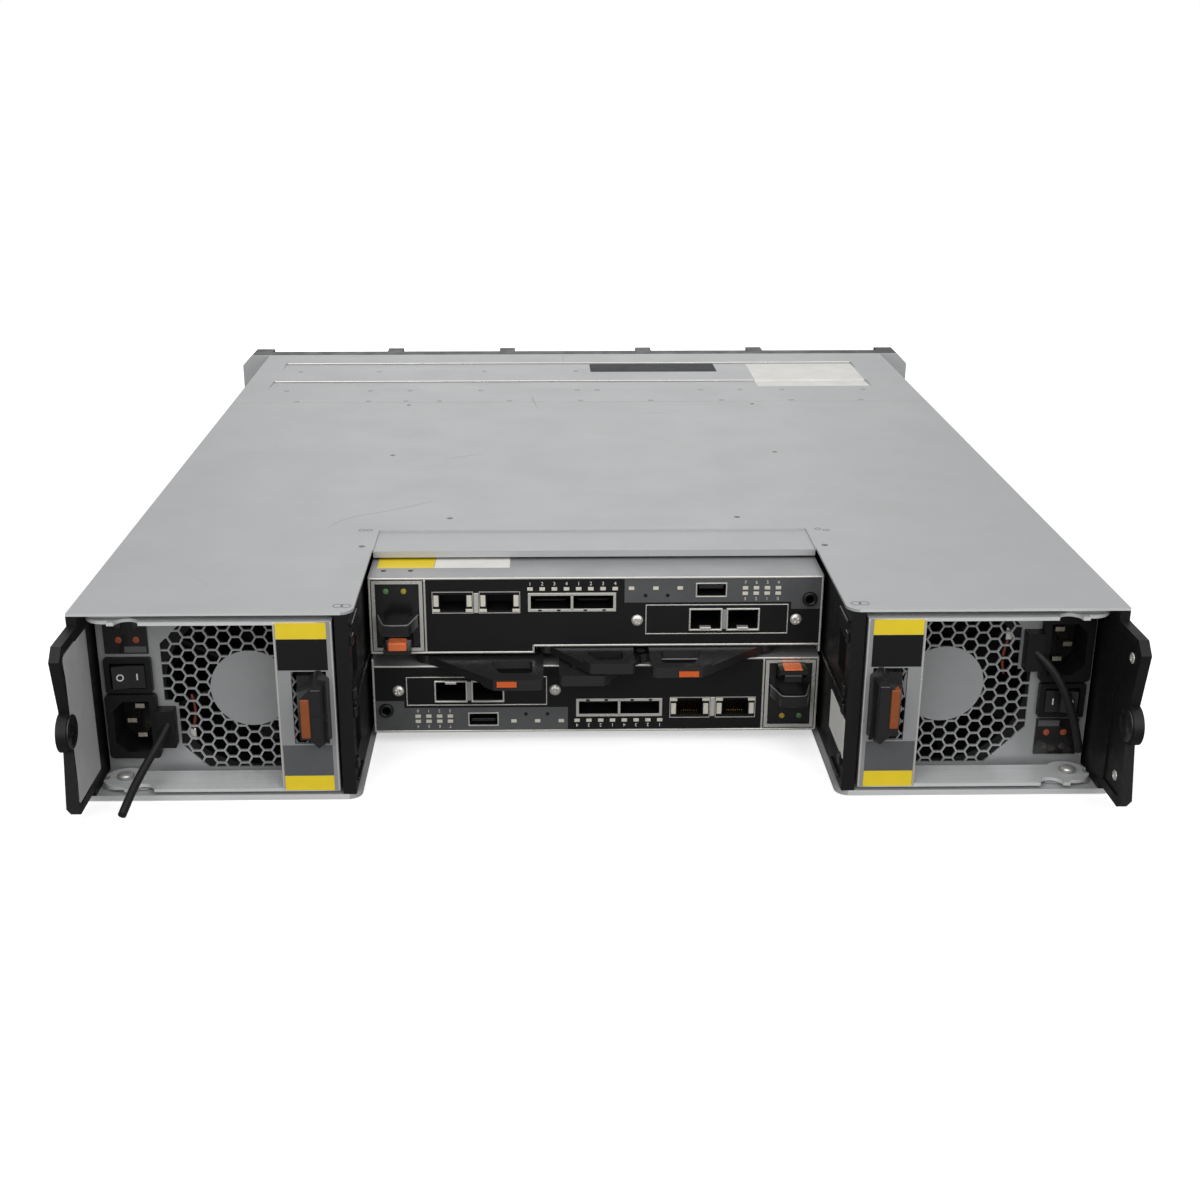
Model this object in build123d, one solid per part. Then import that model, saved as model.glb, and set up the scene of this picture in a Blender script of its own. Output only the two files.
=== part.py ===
from build123d import *
import os
from math import cos, radians, sqrt, tan

# Two-unit rack storage enclosure, described from its rear: +X right, +Y towards the front, +Z up.
# The origin is the centre of the floor's underside. All sizes are in millimetres.

# Rack ears: the 19-inch hole pattern sets their span, and their reach sets the body's width
EAR_HOLE_SPAN = 465.1
EAR_HOLE_PITCH = 44.45
EAR_HOLE_WIDTH = 6.8
EAR_HOLE_EDGE = 8.75
EAR_SLOT_LENGTH = 10.0
EAR_REACH = 19.8
EAR_SHEET = 2.0
EAR_CHAMFER = 7.0
EAR_SPAN = EAR_HOLE_SPAN + 2 * EAR_HOLE_EDGE

# Chassis
BODY_WIDTH = EAR_SPAN - 2 * EAR_REACH
BODY_DEPTH = 525.0
BODY_HEIGHT = 86.5
WALL_SHEET = 1.2
FLOOR_SHEET = 2.4
RUN_GAP = 0.3
FIT_GAP = 0.2
RECESS_WIDTH = 206.0
RECESS_DEPTH = 81.0
RECESS_CORNER = 6.0

# Covers
SEAM_Y = 113.0
SEAM_GAP = 0.4
COVER_LIP = 2.6
STEP_WIDTH = 205.0
STEP_LENGTH = 29.0
STEP_DROP = 0.8
EMBOSS_LEFT_INSET = 16.5
EMBOSS_RIGHT_INSET = 26.5
EMBOSS_LENGTH = 24.0
EMBOSS_DROP = 0.9
EMBOSS_EDGES = (176.0, 234.0)

# Front trim
TRIM_DEPTH = 12.0
TRIM_TAB_WIDTH = 11.0
TRIM_TAB_LENGTH = 12.0
TRIM_TAB_THICK = 2.4
TRIM_TABS_X = (50.0, 132.0)
CAP_DEPTH = 22.0
CAP_WELL_RADIUS = 6.0
CAP_CHAMFER = 2.0

# Drive bays
BAY_COLUMNS = 4
BAY_ROWS = 3
CAGE_SHEET = 1.0
BOARD_Y = 92.0
BOARD_THICK = 2.4
BOARD_EDGE = 4.0
PLUG_LENGTH = 12.0
DRIVE_PLUG_WIDTH = 44.0
DRIVE_PLUG_HEIGHT = 8.0
CARRIER_BEZEL = 14.0
CARRIER_PROUD = 10.0
CARRIER_RAIL = 3.0
CARRIER_RAIL_HEIGHT = 14.0
CARRIER_GRIP_WIDTH = 34.0
CARRIER_GRIP_HEIGHT = 15.0
CARRIER_GRIP_DEPTH = 9.0
CARRIER_VENTS = 5
CARRIER_VENT_WIDTH = 5.0
CARRIER_VENT_HEIGHT = 15.0
CARRIER_VENT_PITCH = 8.0
CARRIER_BAR = 5.0
CARRIER_BAR_DEPTH = 3.5
CARRIER_BUTTON = 7.0
DISK_SIDE_GAP = 0.6
DISK_SHELF_GAP = 0.583

# Bay walls between the power modules and the controllers
BAY_WALL_INNER = 105.0
BAY_WALL_THICK = 5.7
BAY_RIB_REACH = 5.0
BAY_RIB_START = 22.0
BAY_STEP_DEPTH = 2.2
BAY_STEP_LENGTH = 16.0
BAY_STEP_HEIGHT = 17.0

# Side guards on the rear corners
GUARD_THICK = 4.3
GUARD_ROOT = 12.0
GUARD_TONGUE = 2.5
GUARD_TONGUE_LENGTH = 14.0
GUARD_REACH = 27.5
GUARD_WAIST = 5.0
GUARD_LOW = 5.5
GUARD_TAB_RADIUS = 8.5
GUARD_TAB_OUT = 3.0
GUARD_CORNER = 5.0
GUARD_RIM = 4.0
GUARD_POCKET = 0.8

# Power and cooling module, the left one; the right one is the same module turned over
PCM_SIDE_GAP = 1.0
PCM_WALL_GAP = 0.5
PCM_RECESS = 21.5
PCM_SHEET = 1.0
PCM_EAR_WIDTH = 22.0
PCM_EAR_LENGTH = 17.0
PCM_EAR_CORNER = 4.0
PIVOT_INSET = 9.2
PIVOT_BACK = 10.0
PIVOT_RADIUS = 2.0
PIVOT_HEAD_RADIUS = 3.6
PIVOT_HEAD = 0.9
PIN_GAP = 0.08

# Honeycomb face
CELL_PITCH = 6.0
CELL_WALL = 0.8
CELL_LEAST = 2.0
GRILLE_INSET = 1.0
GRILLE_CORNER = 17.0
GRILLE_HUB = 17.6
GRILLE_EDGE = 1.2

# Fan behind the honeycomb
FAN_DEPTH = 25.0
FAN_WALL = 2.0
FAN_GAP = 0.55
FAN_INLET_GAP = 3.2
FAN_TIP_GAP = 1.2
FAN_MOTOR_RADIUS = 14.0
FAN_MOTOR_DEPTH = 4.0
FAN_HUB_RADIUS = 16.0
FAN_HUB_DEPTH = 18.0
FAN_SHAFT_RADIUS = 2.0
FAN_SHAFT_LENGTH = 10.0
FAN_STRUTS = 3
FAN_STRUT_WIDTH = 4.0
FAN_BLADES = 7
FAN_BLADE_CHORD = 17.0
FAN_BLADE_THICK = 1.6
FAN_BLADE_PITCH = 38.0

# Power supply board inside the module
SUPPLY_LOW = 6.0
SUPPLY_BACK = 12.0
SUPPLY_SIDE = 4.0
SINK_WIDTH = 14.0
SINK_HEIGHT = 52.0
SINK_LENGTH = 180.0
CORE_SIZE = 38.0
CAN_RADIUS = 15.0
CAN_HEIGHT = 45.0
CAN_PITCH = 40.0

# Mains inlet, rocker switch and lamp window, in a column on the module's outer side
COLUMN_INSET = 12.6
BEZEL_PROUD = 3.0
INLET_BEZEL_WIDTH = 22.4
INLET_BEZEL_HEIGHT = 30.4
INLET_CORNER = 2.0
INLET_LIFT = 8.5
INLET_BODY_WIDTH = 20.0
INLET_BODY_HEIGHT = 27.0
INLET_BODY_DEPTH = 22.0
INLET_MOUTH_WIDTH = 16.0
INLET_MOUTH_HEIGHT = 24.0
INLET_MOUTH_CHAMFER = 4.5
INLET_MOUTH_DEPTH = 17.0
INLET_PIN_LENGTH = 10.0
INLET_PIN_WIDTH = 4.0
INLET_PIN_THICK = 2.0
INLET_PIN_PITCH = 7.0
INLET_PIN_OFFSET = 2.0
ANCHOR_WIDTH = 7.6
ANCHOR_HEIGHT = 17.5
ANCHOR_DEPTH = 6.3
SWITCH_BEZEL_WIDTH = 20.2
SWITCH_BEZEL_HEIGHT = 16.0
SWITCH_STACK_GAP = 0.9
SWITCH_BODY_INSET = 1.0
SWITCH_BODY_DEPTH = 18.0
SWITCH_WELL_WIDTH = 15.2
SWITCH_WELL_HEIGHT = 11.8
SWITCH_WELL_DEPTH = 9.0
ROCKER_GAP = 0.7
ROCKER_RISE = 2.4
ROCKER_TILT = 7.0
ROCKER_PIN_RADIUS = 1.2
ROCKER_PIN_REACH = 1.5
LAMP_WIDTH = 18.6
LAMP_STACK_GAP = 1.7
LAMP_HEADROOM = 6.6
LAMP_DEPTH = 2.0

# Module handle: two arms and a grip plate, bent from one sheet
HANDLE_SHEET = 1.5
HANDLE_ARM_GAP = 0.3
HANDLE_BACK_GAP = 4.0
HANDLE_END_RADIUS = 9.3
HANDLE_ARM_START = 2.0
HANDLE_PLATE_WIDTH = 24.4
HANDLE_PLATE_GAP = 0.7
HANDLE_FLANGE = 14.0
HANDLE_NOTCH_RADIUS = 5.0
HANDLE_NOTCH_X = 10.0
HANDLE_CLAW_RADIUS = 2.5
WINDOW_LEFT = 6.2
WINDOW_HEIGHT = 33.5

# Grip latch in the handle's window
LATCH_TRAVEL = 2.5
LATCH_HEAD_LEFT = 8.2
LATCH_HEAD_WIDTH = 14.0
LATCH_HEAD_HEIGHT = 34.5
LATCH_HEAD_DEPTH = 8.0
LATCH_CHAMFER = 8.5
LATCH_BACK_CHAMFER = 3.5
LATCH_STOP_GAP = 0.8
LATCH_STEM_LEFT = 8.5
LATCH_STEM_WIDTH = 9.2
LATCH_STEM_HEIGHT = 30.0
LATCH_STEM_DEPTH = 10.0
LATCH_TAPER = 16.0

# Controller canister, the upper one; the lower one is the same canister turned over
CTRL_HALF_WIDTH = 102.8
CTRL_GAP = 2.7
CTRL_HEADROOM = 3.9
CTRL_SETBACK = 56.5
CTRL_SHEET = 1.0
CTRL_FACE = 1.2
CTRL_DIVIDER_X = -78.0
POCKET_LEFT = -28.0
POCKET_DEPTH = 18.0
POCKET_HEIGHT = 3.2

# Ports on the controller face: centre X, drop of the centre below the canister's top, width, height
RJ_X = (-64.9, -43.7)
RJ_DROP = 12.1
RJ_WIDTH = 18.0
RJ_HEIGHT = 9.6
RJ_MOUTH = 11.8
RJ_MOUTH_HEIGHT = 8.0
RJ_DEPTH = 20.0
SAS_X = -10.95
SAS_DROP = 12.05
SAS_WIDTH = 39.3
SAS_HEIGHT = 8.4
SAS_RIM = 1.0
SAS_DEPTH = 18.0
USB_X = 52.05
USB_DROP = 6.5
USB_WIDTH = 14.2
USB_HEIGHT = 6.9
USB_RIM = 0.8
USB_DEPTH = 16.0
JACK_X = 96.9
JACK_DROP = 11.2
JACK_RADIUS = 3.3
JACK_BORE = 1.8
JACK_DEPTH = 14.0
SOCKET_DEPTH = 13.0
CARD_X = 54.9
CARD_DROP = 13.75
CARD_LIFT = 4.95
CARD_WIDTH = 64.4
CARD_FLANGE = 7.0
CARD_PLATE = 1.0
CAGE_X = (49.8, 66.8)
CAGE_WIDTH = 15.2
CAGE_MARGIN = 1.55
CAGE_WALL = 0.7
CAGE_DEPTH = 45.0
PCB_THICK = 1.6
PCB_DEPTH = 150.0
PCB_SPLIT_X = 15.5

# Levers under the controller face
LEVER_THICK = 3.8
LEVER_LOW = 0.35
LEVER_REACH = 27.5
LEVER_BACK = 9.0
LEVER_PIN_BACK = 7.0
LEVER_PIN_RADIUS = 2.2
LEVER_BOSS = 5.4
LEVER_CORNER = 2.5
LEVER_RIM = 8.0
LEVER_LIP = 1.2
LEVER_LIP_WIDTH = 4.5
LEVER_SIDE = 5.0
LONG_PIVOT_X = 77.0
LONG_END_X = 24.0
LONG_RIM = 22.0
SHORT_PIVOT_X = -21.0
SHORT_END_X = 17.0
SHORT_RIM = 20.0
SHORT_REACH = 23.0
TAB_X = 40.3
TAB_WIDTH = 9.0
TAB_HEIGHT = 2.6
TAB_LENGTH = 6.0
TAB_PROUD = 0.8
TAB_TRAVEL = 1.5

# Battery module in the controller's left end
BATTERY_GAP = 0.4
BATTERY_LENGTH = 110.0
BATTERY_FRAME = 1.6
BATTERY_FACE_DEPTH = 1.2
GRIP_Z = 12.6
GRIP_HEIGHT = 4.9
GRIP_REACH = 14.0
GRIP_ROOT = 19.5
GRIP_TIP = 12.0
GRIP_BAR = 3.0
CATCH_WIDTH = 12.6
CATCH_HEIGHT = 5.6
CATCH_LOW = 1.6
CATCH_REACH = 9.0
CATCH_TRAVEL = 2.5
CATCH_LIP = 2.2
CATCH_RISE = 4.0

# Cord straps on the module faces: points chosen by hand
STRAP_RADIUS = 1.8
LEFT_STRAP = (
    (-187.6, -245.8, 28.6),
    (-190.2, -252.2, 23.6),
    (-193.4, -259.4, 18.8),
    (-196.3, -267.1, 14.1),
    (-198.5, -276.0, 9.9),
    (-200.1, -285.9, 5.4),
)
RIGHT_STRAP = (
    (188.6, -245.2, 60.6),
    (193.0, -249.4, 56.8),
    (198.0, -252.0, 50.4),
    (201.8, -253.6, 42.8),
    (204.9, -254.4, 34.6),
    (207.6, -254.9, 26.0),
    (209.6, -255.4, 17.0),
)

# Planes that follow from the sizes above
REAR = -BODY_DEPTH / 2
FRONT = BODY_DEPTH / 2
SIDE = BODY_WIDTH / 2
MID_Z = BODY_HEIGHT / 2
COVER_UNDER = BODY_HEIGHT - WALL_SHEET
RECESS_HALF = RECESS_WIDTH / 2
RECESS_Y = REAR + RECESS_DEPTH
INNER_SIDE = SIDE - WALL_SHEET
GUARD_INNER = SIDE - GUARD_THICK
BAY_WALL_OUTER = BAY_WALL_INNER + BAY_WALL_THICK
CAGE_BACK = BOARD_Y + BOARD_THICK
CAGE_TOP = COVER_UNDER - EMBOSS_DROP - RUN_GAP
MODULE_FRONT = BOARD_Y - PLUG_LENGTH - RUN_GAP

PCM_LEFT = -(GUARD_INNER - PCM_SIDE_GAP)
PCM_RIGHT = -(BAY_WALL_OUTER + PCM_WALL_GAP)
PCM_LOW = FLOOR_SHEET + RUN_GAP
PCM_HIGH = BODY_HEIGHT - PCM_LOW
PCM_FACE_Y = REAR + PCM_RECESS
PCM_BACK_Y = PCM_FACE_Y + PCM_SHEET
COLUMN_X = PCM_LEFT + COLUMN_INSET
INLET_Z = PCM_LOW + INLET_LIFT + INLET_BEZEL_HEIGHT / 2
ANCHOR_LEFT = COLUMN_X + INLET_BEZEL_WIDTH / 2
ANCHOR_RIGHT = ANCHOR_LEFT + ANCHOR_WIDTH
SWITCH_Z = INLET_Z + (INLET_BEZEL_HEIGHT + SWITCH_BEZEL_HEIGHT) / 2 + SWITCH_STACK_GAP
LAMP_LOW = SWITCH_Z + SWITCH_BEZEL_HEIGHT / 2 + LAMP_STACK_GAP
LAMP_HEIGHT = PCM_HIGH - LAMP_HEADROOM - LAMP_LOW
LAMP_Z = LAMP_LOW + LAMP_HEIGHT / 2
FAN_RIGHT = PCM_RIGHT - PCM_SHEET - FIT_GAP
FAN_SIZE = min(
    FAN_RIGHT - COLUMN_X - INLET_BODY_WIDTH / 2 - FAN_INLET_GAP,
    PCM_HIGH - PCM_LOW - 2 * (PCM_SHEET + FAN_GAP),
)
FAN_BORE = FAN_SIZE / 2 - FAN_WALL
FAN_X = FAN_RIGHT - FAN_SIZE / 2
PIVOT_X = PCM_LEFT + PIVOT_INSET
PIVOT_Y = PCM_FACE_Y - PIVOT_BACK
ARM_LOW = PCM_LOW + PCM_SHEET + HANDLE_ARM_GAP
ARM_HIGH = BODY_HEIGHT - ARM_LOW
PLATE_RIGHT = PCM_RIGHT - HANDLE_PLATE_GAP
PLATE_LEFT = PLATE_RIGHT - HANDLE_PLATE_WIDTH
PLATE_Y = REAR
WINDOW_WIDTH = LATCH_STEM_LEFT - WINDOW_LEFT + LATCH_STEM_WIDTH + LATCH_TRAVEL + LATCH_STOP_GAP

CTRL_LOW = MID_Z + CTRL_GAP / 2
CTRL_HIGH = COVER_UNDER - CTRL_HEADROOM
CTRL_Y = REAR + CTRL_SETBACK
CTRL_FACE_BACK = CTRL_Y + CTRL_FACE
POCKET_TOP = CTRL_LOW + POCKET_HEIGHT
POCKET_RIGHT = CTRL_HALF_WIDTH - CTRL_SHEET
RJ_Z = CTRL_HIGH - RJ_DROP
SAS_Z = CTRL_HIGH - SAS_DROP
USB_Z = CTRL_HIGH - USB_DROP
JACK_Z = CTRL_HIGH - JACK_DROP
CARD_LOW = POCKET_TOP + CTRL_SHEET + CARD_LIFT
CARD_HEIGHT = CTRL_HIGH - CARD_DROP - CARD_LOW
CARD_Z = CARD_LOW + CARD_HEIGHT / 2
CAGE_HEIGHT = CARD_HEIGHT - 2 * CAGE_MARGIN
LEVER_BOTTOM = MID_Z + LEVER_LOW
LEVER_TOP = LEVER_BOTTOM + LEVER_THICK
LEVER_PIN_Y = CTRL_Y + LEVER_PIN_BACK
BATTERY_LEFT = -CTRL_HALF_WIDTH + CTRL_SHEET + BATTERY_GAP
BATTERY_RIGHT = CTRL_DIVIDER_X - BATTERY_GAP
BATTERY_LOW = CTRL_LOW + CTRL_SHEET + BATTERY_GAP
BATTERY_HIGH = CTRL_HIGH - CTRL_SHEET - BATTERY_GAP
BATTERY_X = (BATTERY_LEFT + BATTERY_RIGHT) / 2


def span(a0, a1, b0, b1):
    """Rectangle between two corners of a sketch plane."""
    return Pos((a0 + a1) / 2, (b0 + b1) / 2) * Rectangle(a1 - a0, b1 - b0)


def centred(a, b, width, height):
    """Rectangle about a centre of a sketch plane."""
    return Pos(a, b) * Rectangle(width, height)


def along_x(sketch, x0, x1):
    """Extrude a Y-Z sketch from x0 to x1."""
    return extrude(Plane.YZ.offset(x0) * sketch, x1 - x0, dir=(1, 0, 0))


def along_y(sketch, y0, y1):
    """Extrude an X-Z sketch from y0 to y1."""
    return extrude(Plane.XZ.offset(-y0) * sketch, y1 - y0, dir=(0, 1, 0))


def along_z(sketch, z0, z1):
    """Extrude an X-Y sketch from z0 to z1."""
    return extrude(Pos(0, 0, z0) * sketch, z1 - z0, dir=(0, 0, 1))


def block(x0, x1, y0, y1, z0, z1):
    """Box between two corners."""
    return along_z(span(x0, x1, y0, y1), z0, z1)


def rounded(sketch, radius, keep=None):
    """Round the corners of a sketch, or only those that keep accepts."""
    corners = [v for v in sketch.vertices() if keep is None or keep(v)]
    return fillet(corners, radius)


def mirrored_z(part):
    """The same shape reflected about the enclosure's mid height."""
    return mirror(part, Plane.XY.offset(MID_Z))


def turned(part):
    """The same shape turned half a turn about the enclosure's fore-and-aft centre line."""
    return part.rotate(Axis((0, 0, MID_Z), (0, 1, 0)), 180)


def left_and_right(part):
    """A left-hand piece and its mirror image, as two separate solids."""
    return Compound([*part.solids(), *mirror(part, Plane.YZ).solids()])


def wing_plan(y_front):
    """Plan of the floor and rear cover: a rectangle with the rear recess between two wings."""
    plan = span(-SIDE, SIDE, REAR, y_front) - span(-RECESS_HALF, RECESS_HALF, REAR, RECESS_Y)
    return rounded(plan, RECESS_CORNER, lambda v: abs(v.X) < SIDE - 1 and v.Y < REAR + 1)


def rack_ear():
    """Right-hand ear: flange with a chamfered upper corner and two slots for rack screws."""
    flange = span(SIDE, EAR_SPAN / 2, 0, BODY_HEIGHT)
    outer_top = [v for v in flange.vertices() if v.X > SIDE + 1 and v.Y > MID_Z]
    flange = chamfer(outer_top, EAR_CHAMFER)
    for z in (MID_Z - EAR_HOLE_PITCH / 2, MID_Z + EAR_HOLE_PITCH / 2):
        flange -= Pos(EAR_HOLE_SPAN / 2, z) * SlotOverall(EAR_SLOT_LENGTH, EAR_HOLE_WIDTH)
    return along_y(flange, FRONT - EAR_SHEET, FRONT)


def chassis_tray():
    """Floor, side walls and rack ears."""
    floor = along_z(wing_plan(FRONT), 0, FLOOR_SHEET)
    wall = block(INNER_SIDE, SIDE, REAR + GUARD_ROOT, FRONT, FLOOR_SHEET, COVER_UNDER)
    side = wall + rack_ear()
    return floor + side + mirror(side, Plane.YZ)


def rear_cover():
    """Rear cover: recess, stepped strip and the lip that closes the gap over the controllers."""
    plate = along_z(wing_plan(SEAM_Y - SEAM_GAP), COVER_UNDER, BODY_HEIGHT)
    step = span(-STEP_WIDTH / 2, STEP_WIDTH / 2, RECESS_Y, RECESS_Y + STEP_LENGTH)
    plate += along_z(step, COVER_UNDER - STEP_DROP, COVER_UNDER)
    plate -= along_z(step, BODY_HEIGHT - STEP_DROP, BODY_HEIGHT)
    lip = span(-STEP_WIDTH / 2, STEP_WIDTH / 2, RECESS_Y, RECESS_Y + WALL_SHEET)
    return plate + along_z(lip, COVER_UNDER - COVER_LIP, COVER_UNDER)


def front_cover():
    """Front cover with two shallow wedge-shaped embosses, deepest at their far edge."""
    plate = block(-SIDE, SIDE, SEAM_Y, FRONT, COVER_UNDER, BODY_HEIGHT)
    wedges = Part()
    for far_edge in EMBOSS_EDGES:
        wedge = Polygon(
            (far_edge - EMBOSS_LENGTH, BODY_HEIGHT),
            (far_edge, BODY_HEIGHT - EMBOSS_DROP),
            (far_edge, BODY_HEIGHT),
            align=None,
        )
        wedges += along_x(wedge, EMBOSS_LEFT_INSET - SIDE, SIDE - EMBOSS_RIGHT_INSET)
    return plate + Pos(0, 0, -WALL_SHEET) * wedges - wedges


def front_trim():
    """Moulded ring round the drive bays, its four top hooks, and the two ear caps."""
    ring = span(-SIDE, SIDE, 0, BODY_HEIGHT) - span(-INNER_SIDE, INNER_SIDE, FLOOR_SHEET, COVER_UNDER)
    trim = along_y(ring, FRONT, FRONT + TRIM_DEPTH)
    for x in TRIM_TABS_X:
        hook = centred(x, BODY_HEIGHT - TRIM_TAB_THICK / 2, TRIM_TAB_WIDTH, TRIM_TAB_THICK)
        hook = along_y(hook, FRONT, FRONT + TRIM_DEPTH + TRIM_TAB_LENGTH)
        hook -= block(-SIDE, SIDE, FRONT, FRONT + TRIM_DEPTH, 0, COVER_UNDER)
        trim += hook + mirror(hook, Plane.YZ)
    face = span(SIDE, EAR_SPAN / 2, 0, BODY_HEIGHT)
    face = chamfer([v for v in face.vertices() if v.X > SIDE + 1 and v.Y > MID_Z], EAR_CHAMFER)
    for z in (MID_Z - EAR_HOLE_PITCH / 2, MID_Z + EAR_HOLE_PITCH / 2):
        face -= Pos(EAR_HOLE_SPAN / 2, z) * Circle(CAP_WELL_RADIUS)
    cap = along_y(face, FRONT, FRONT + CAP_DEPTH)
    cap = chamfer(cap.edges().filter_by(Axis.Z).group_by(Axis.Y)[-1].sort_by(Axis.X)[-1], CAP_CHAMFER)
    return trim + cap + mirror(cap, Plane.YZ)


BAY_CELL_X = (2 * INNER_SIDE - (BAY_COLUMNS - 1) * CAGE_SHEET) / BAY_COLUMNS
BAY_CELL_Z = (CAGE_TOP - FLOOR_SHEET - (BAY_ROWS - 1) * CAGE_SHEET) / BAY_ROWS
BAY_CENTRES = [
    (-INNER_SIDE + (column + 0.5) * BAY_CELL_X + column * CAGE_SHEET,
     FLOOR_SHEET + (row + 0.5) * BAY_CELL_Z + row * CAGE_SHEET)
    for row in range(BAY_ROWS)
    for column in range(BAY_COLUMNS)
]


def drive_cage():
    """Egg-crate of upright dividers and shelves that carries the drives."""
    crate = span(-INNER_SIDE, INNER_SIDE, FLOOR_SHEET, CAGE_TOP)
    for x, z in BAY_CENTRES:
        crate -= centred(x, z, BAY_CELL_X, BAY_CELL_Z)
    return along_y(crate, CAGE_BACK, FRONT)


def midplane():
    """Board across the chassis with a plug for every drive, module and controller."""
    board = span(-INNER_SIDE + BOARD_EDGE, INNER_SIDE - BOARD_EDGE, FLOOR_SHEET, COVER_UNDER)
    part = along_y(board, BOARD_Y, CAGE_BACK)
    for x, z in BAY_CENTRES:
        plug = centred(x, z, DRIVE_PLUG_WIDTH, DRIVE_PLUG_HEIGHT)
        part += along_y(plug, CAGE_BACK, CAGE_BACK + PLUG_LENGTH)
    module_plug = centred((PCM_LEFT + PCM_RIGHT) / 2, MID_Z, DRIVE_PLUG_WIDTH, 2 * DRIVE_PLUG_HEIGHT)
    control_plug = centred(0, (CTRL_LOW + CTRL_HIGH) / 2, 2 * DRIVE_PLUG_WIDTH, DRIVE_PLUG_HEIGHT)
    rear_plugs = along_y(module_plug + control_plug, BOARD_Y - PLUG_LENGTH, BOARD_Y)
    return part + rear_plugs + turned(rear_plugs)


def drive_carrier(x, z):
    """One carrier: bezel with vents, grip recess, latch bar and button, two runners, and the disk."""
    half = BAY_CELL_X / 2 - RUN_GAP
    tall = BAY_CELL_Z / 2 - RUN_GAP
    rear = CAGE_BACK + PLUG_LENGTH + RUN_GAP
    bezel_front = FRONT + CARRIER_PROUD
    bezel_back = bezel_front - CARRIER_BEZEL
    bezel = span(x - half, x + half, z - tall, z + tall)
    vent_x = x - half + CARRIER_RAIL + CARRIER_VENT_PITCH
    for step in range(CARRIER_VENTS):
        bezel -= centred(vent_x + step * CARRIER_VENT_PITCH, z, CARRIER_VENT_WIDTH, CARRIER_VENT_HEIGHT)
    frame = along_y(bezel, bezel_back, bezel_front)
    grip_x = x + half - CARRIER_GRIP_WIDTH
    grip = centred(grip_x, z, CARRIER_GRIP_WIDTH, CARRIER_GRIP_HEIGHT)
    frame -= along_y(grip, bezel_front - CARRIER_GRIP_DEPTH, bezel_front)
    latch = centred(grip_x, z, CARRIER_GRIP_WIDTH, CARRIER_BAR)
    latch += span(grip_x - CARRIER_GRIP_WIDTH / 2, grip_x - CARRIER_GRIP_WIDTH / 2 + CARRIER_BUTTON,
                  z - CARRIER_GRIP_HEIGHT / 2, z + CARRIER_GRIP_HEIGHT / 2)
    frame += along_y(latch, bezel_front - CARRIER_BAR_DEPTH, bezel_front)
    runner = span(x - half, x - half + CARRIER_RAIL, z - tall, z - tall + CARRIER_RAIL_HEIGHT)
    runner += span(x + half - CARRIER_RAIL, x + half, z - tall, z - tall + CARRIER_RAIL_HEIGHT)
    frame += along_y(runner, rear, bezel_back)
    disk_half = half - CARRIER_RAIL - DISK_SIDE_GAP
    disk = centred(x, z, 2 * disk_half, BAY_CELL_Z - 2 * DISK_SHELF_GAP)
    return Compound([*frame.solids(), *along_y(disk, rear, bezel_back).solids()])


def bay_wall():
    """Left bay wall: moulded plate with three runner ribs and stepped reliefs at its rear end."""
    outer, inner = -BAY_WALL_OUTER, -BAY_WALL_INNER
    wall = span(outer, inner, FLOOR_SHEET, COVER_UNDER)
    part = along_y(wall, REAR, BOARD_Y)
    reach = inner + BAY_RIB_REACH
    ribs = span(inner, reach, FLOOR_SHEET, BODY_HEIGHT - CTRL_HIGH - RUN_GAP)
    ribs += span(inner, reach, BODY_HEIGHT - CTRL_LOW + RUN_GAP, CTRL_LOW - RUN_GAP)
    part += along_y(ribs, CTRL_Y + BAY_RIB_START, BOARD_Y)
    top_rib = span(inner, reach, CTRL_HIGH + RUN_GAP, COVER_UNDER)
    part += along_y(top_rib, RECESS_Y + STEP_LENGTH + RUN_GAP, BOARD_Y)
    for z in (MID_Z - BAY_STEP_HEIGHT, MID_Z + BAY_STEP_HEIGHT):
        relief = centred(REAR + BAY_STEP_LENGTH, z, BAY_STEP_LENGTH, BAY_STEP_HEIGHT)
        part -= along_x(relief, inner - BAY_STEP_DEPTH, inner)
    return part


def side_guard():
    """Left rear guard: root post, waisted plate with a half-round finger tab, and a tongue."""
    tip = REAR - GUARD_REACH
    waist = tip + GUARD_WAIST
    high = BODY_HEIGHT - GUARD_LOW
    plate = Polygon(
        (REAR, GUARD_LOW),
        (tip + GUARD_CORNER, GUARD_LOW),
        (tip, GUARD_LOW + GUARD_CORNER),
        (waist, MID_Z - GUARD_TAB_RADIUS),
        (waist, MID_Z + GUARD_TAB_RADIUS),
        (tip, high - GUARD_CORNER),
        (tip + GUARD_CORNER, high),
        (REAR, high),
        align=None,
    )
    field = offset(plate, -GUARD_RIM)
    tab = Pos(waist + GUARD_TAB_RADIUS - GUARD_WAIST - GUARD_TAB_OUT, MID_Z) * Circle(GUARD_TAB_RADIUS)
    root = span(REAR, REAR + GUARD_ROOT, FLOOR_SHEET, COVER_UNDER)
    part = along_x(plate + tab + root, -SIDE, -GUARD_INNER)
    part -= along_x(field, -GUARD_INNER - GUARD_POCKET, -GUARD_INNER)
    tongue = span(REAR + GUARD_ROOT, REAR + GUARD_ROOT + GUARD_TONGUE_LENGTH, FLOOR_SHEET, COVER_UNDER)
    return part + along_x(tongue, -INNER_SIDE, -INNER_SIDE + GUARD_TONGUE)


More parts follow.
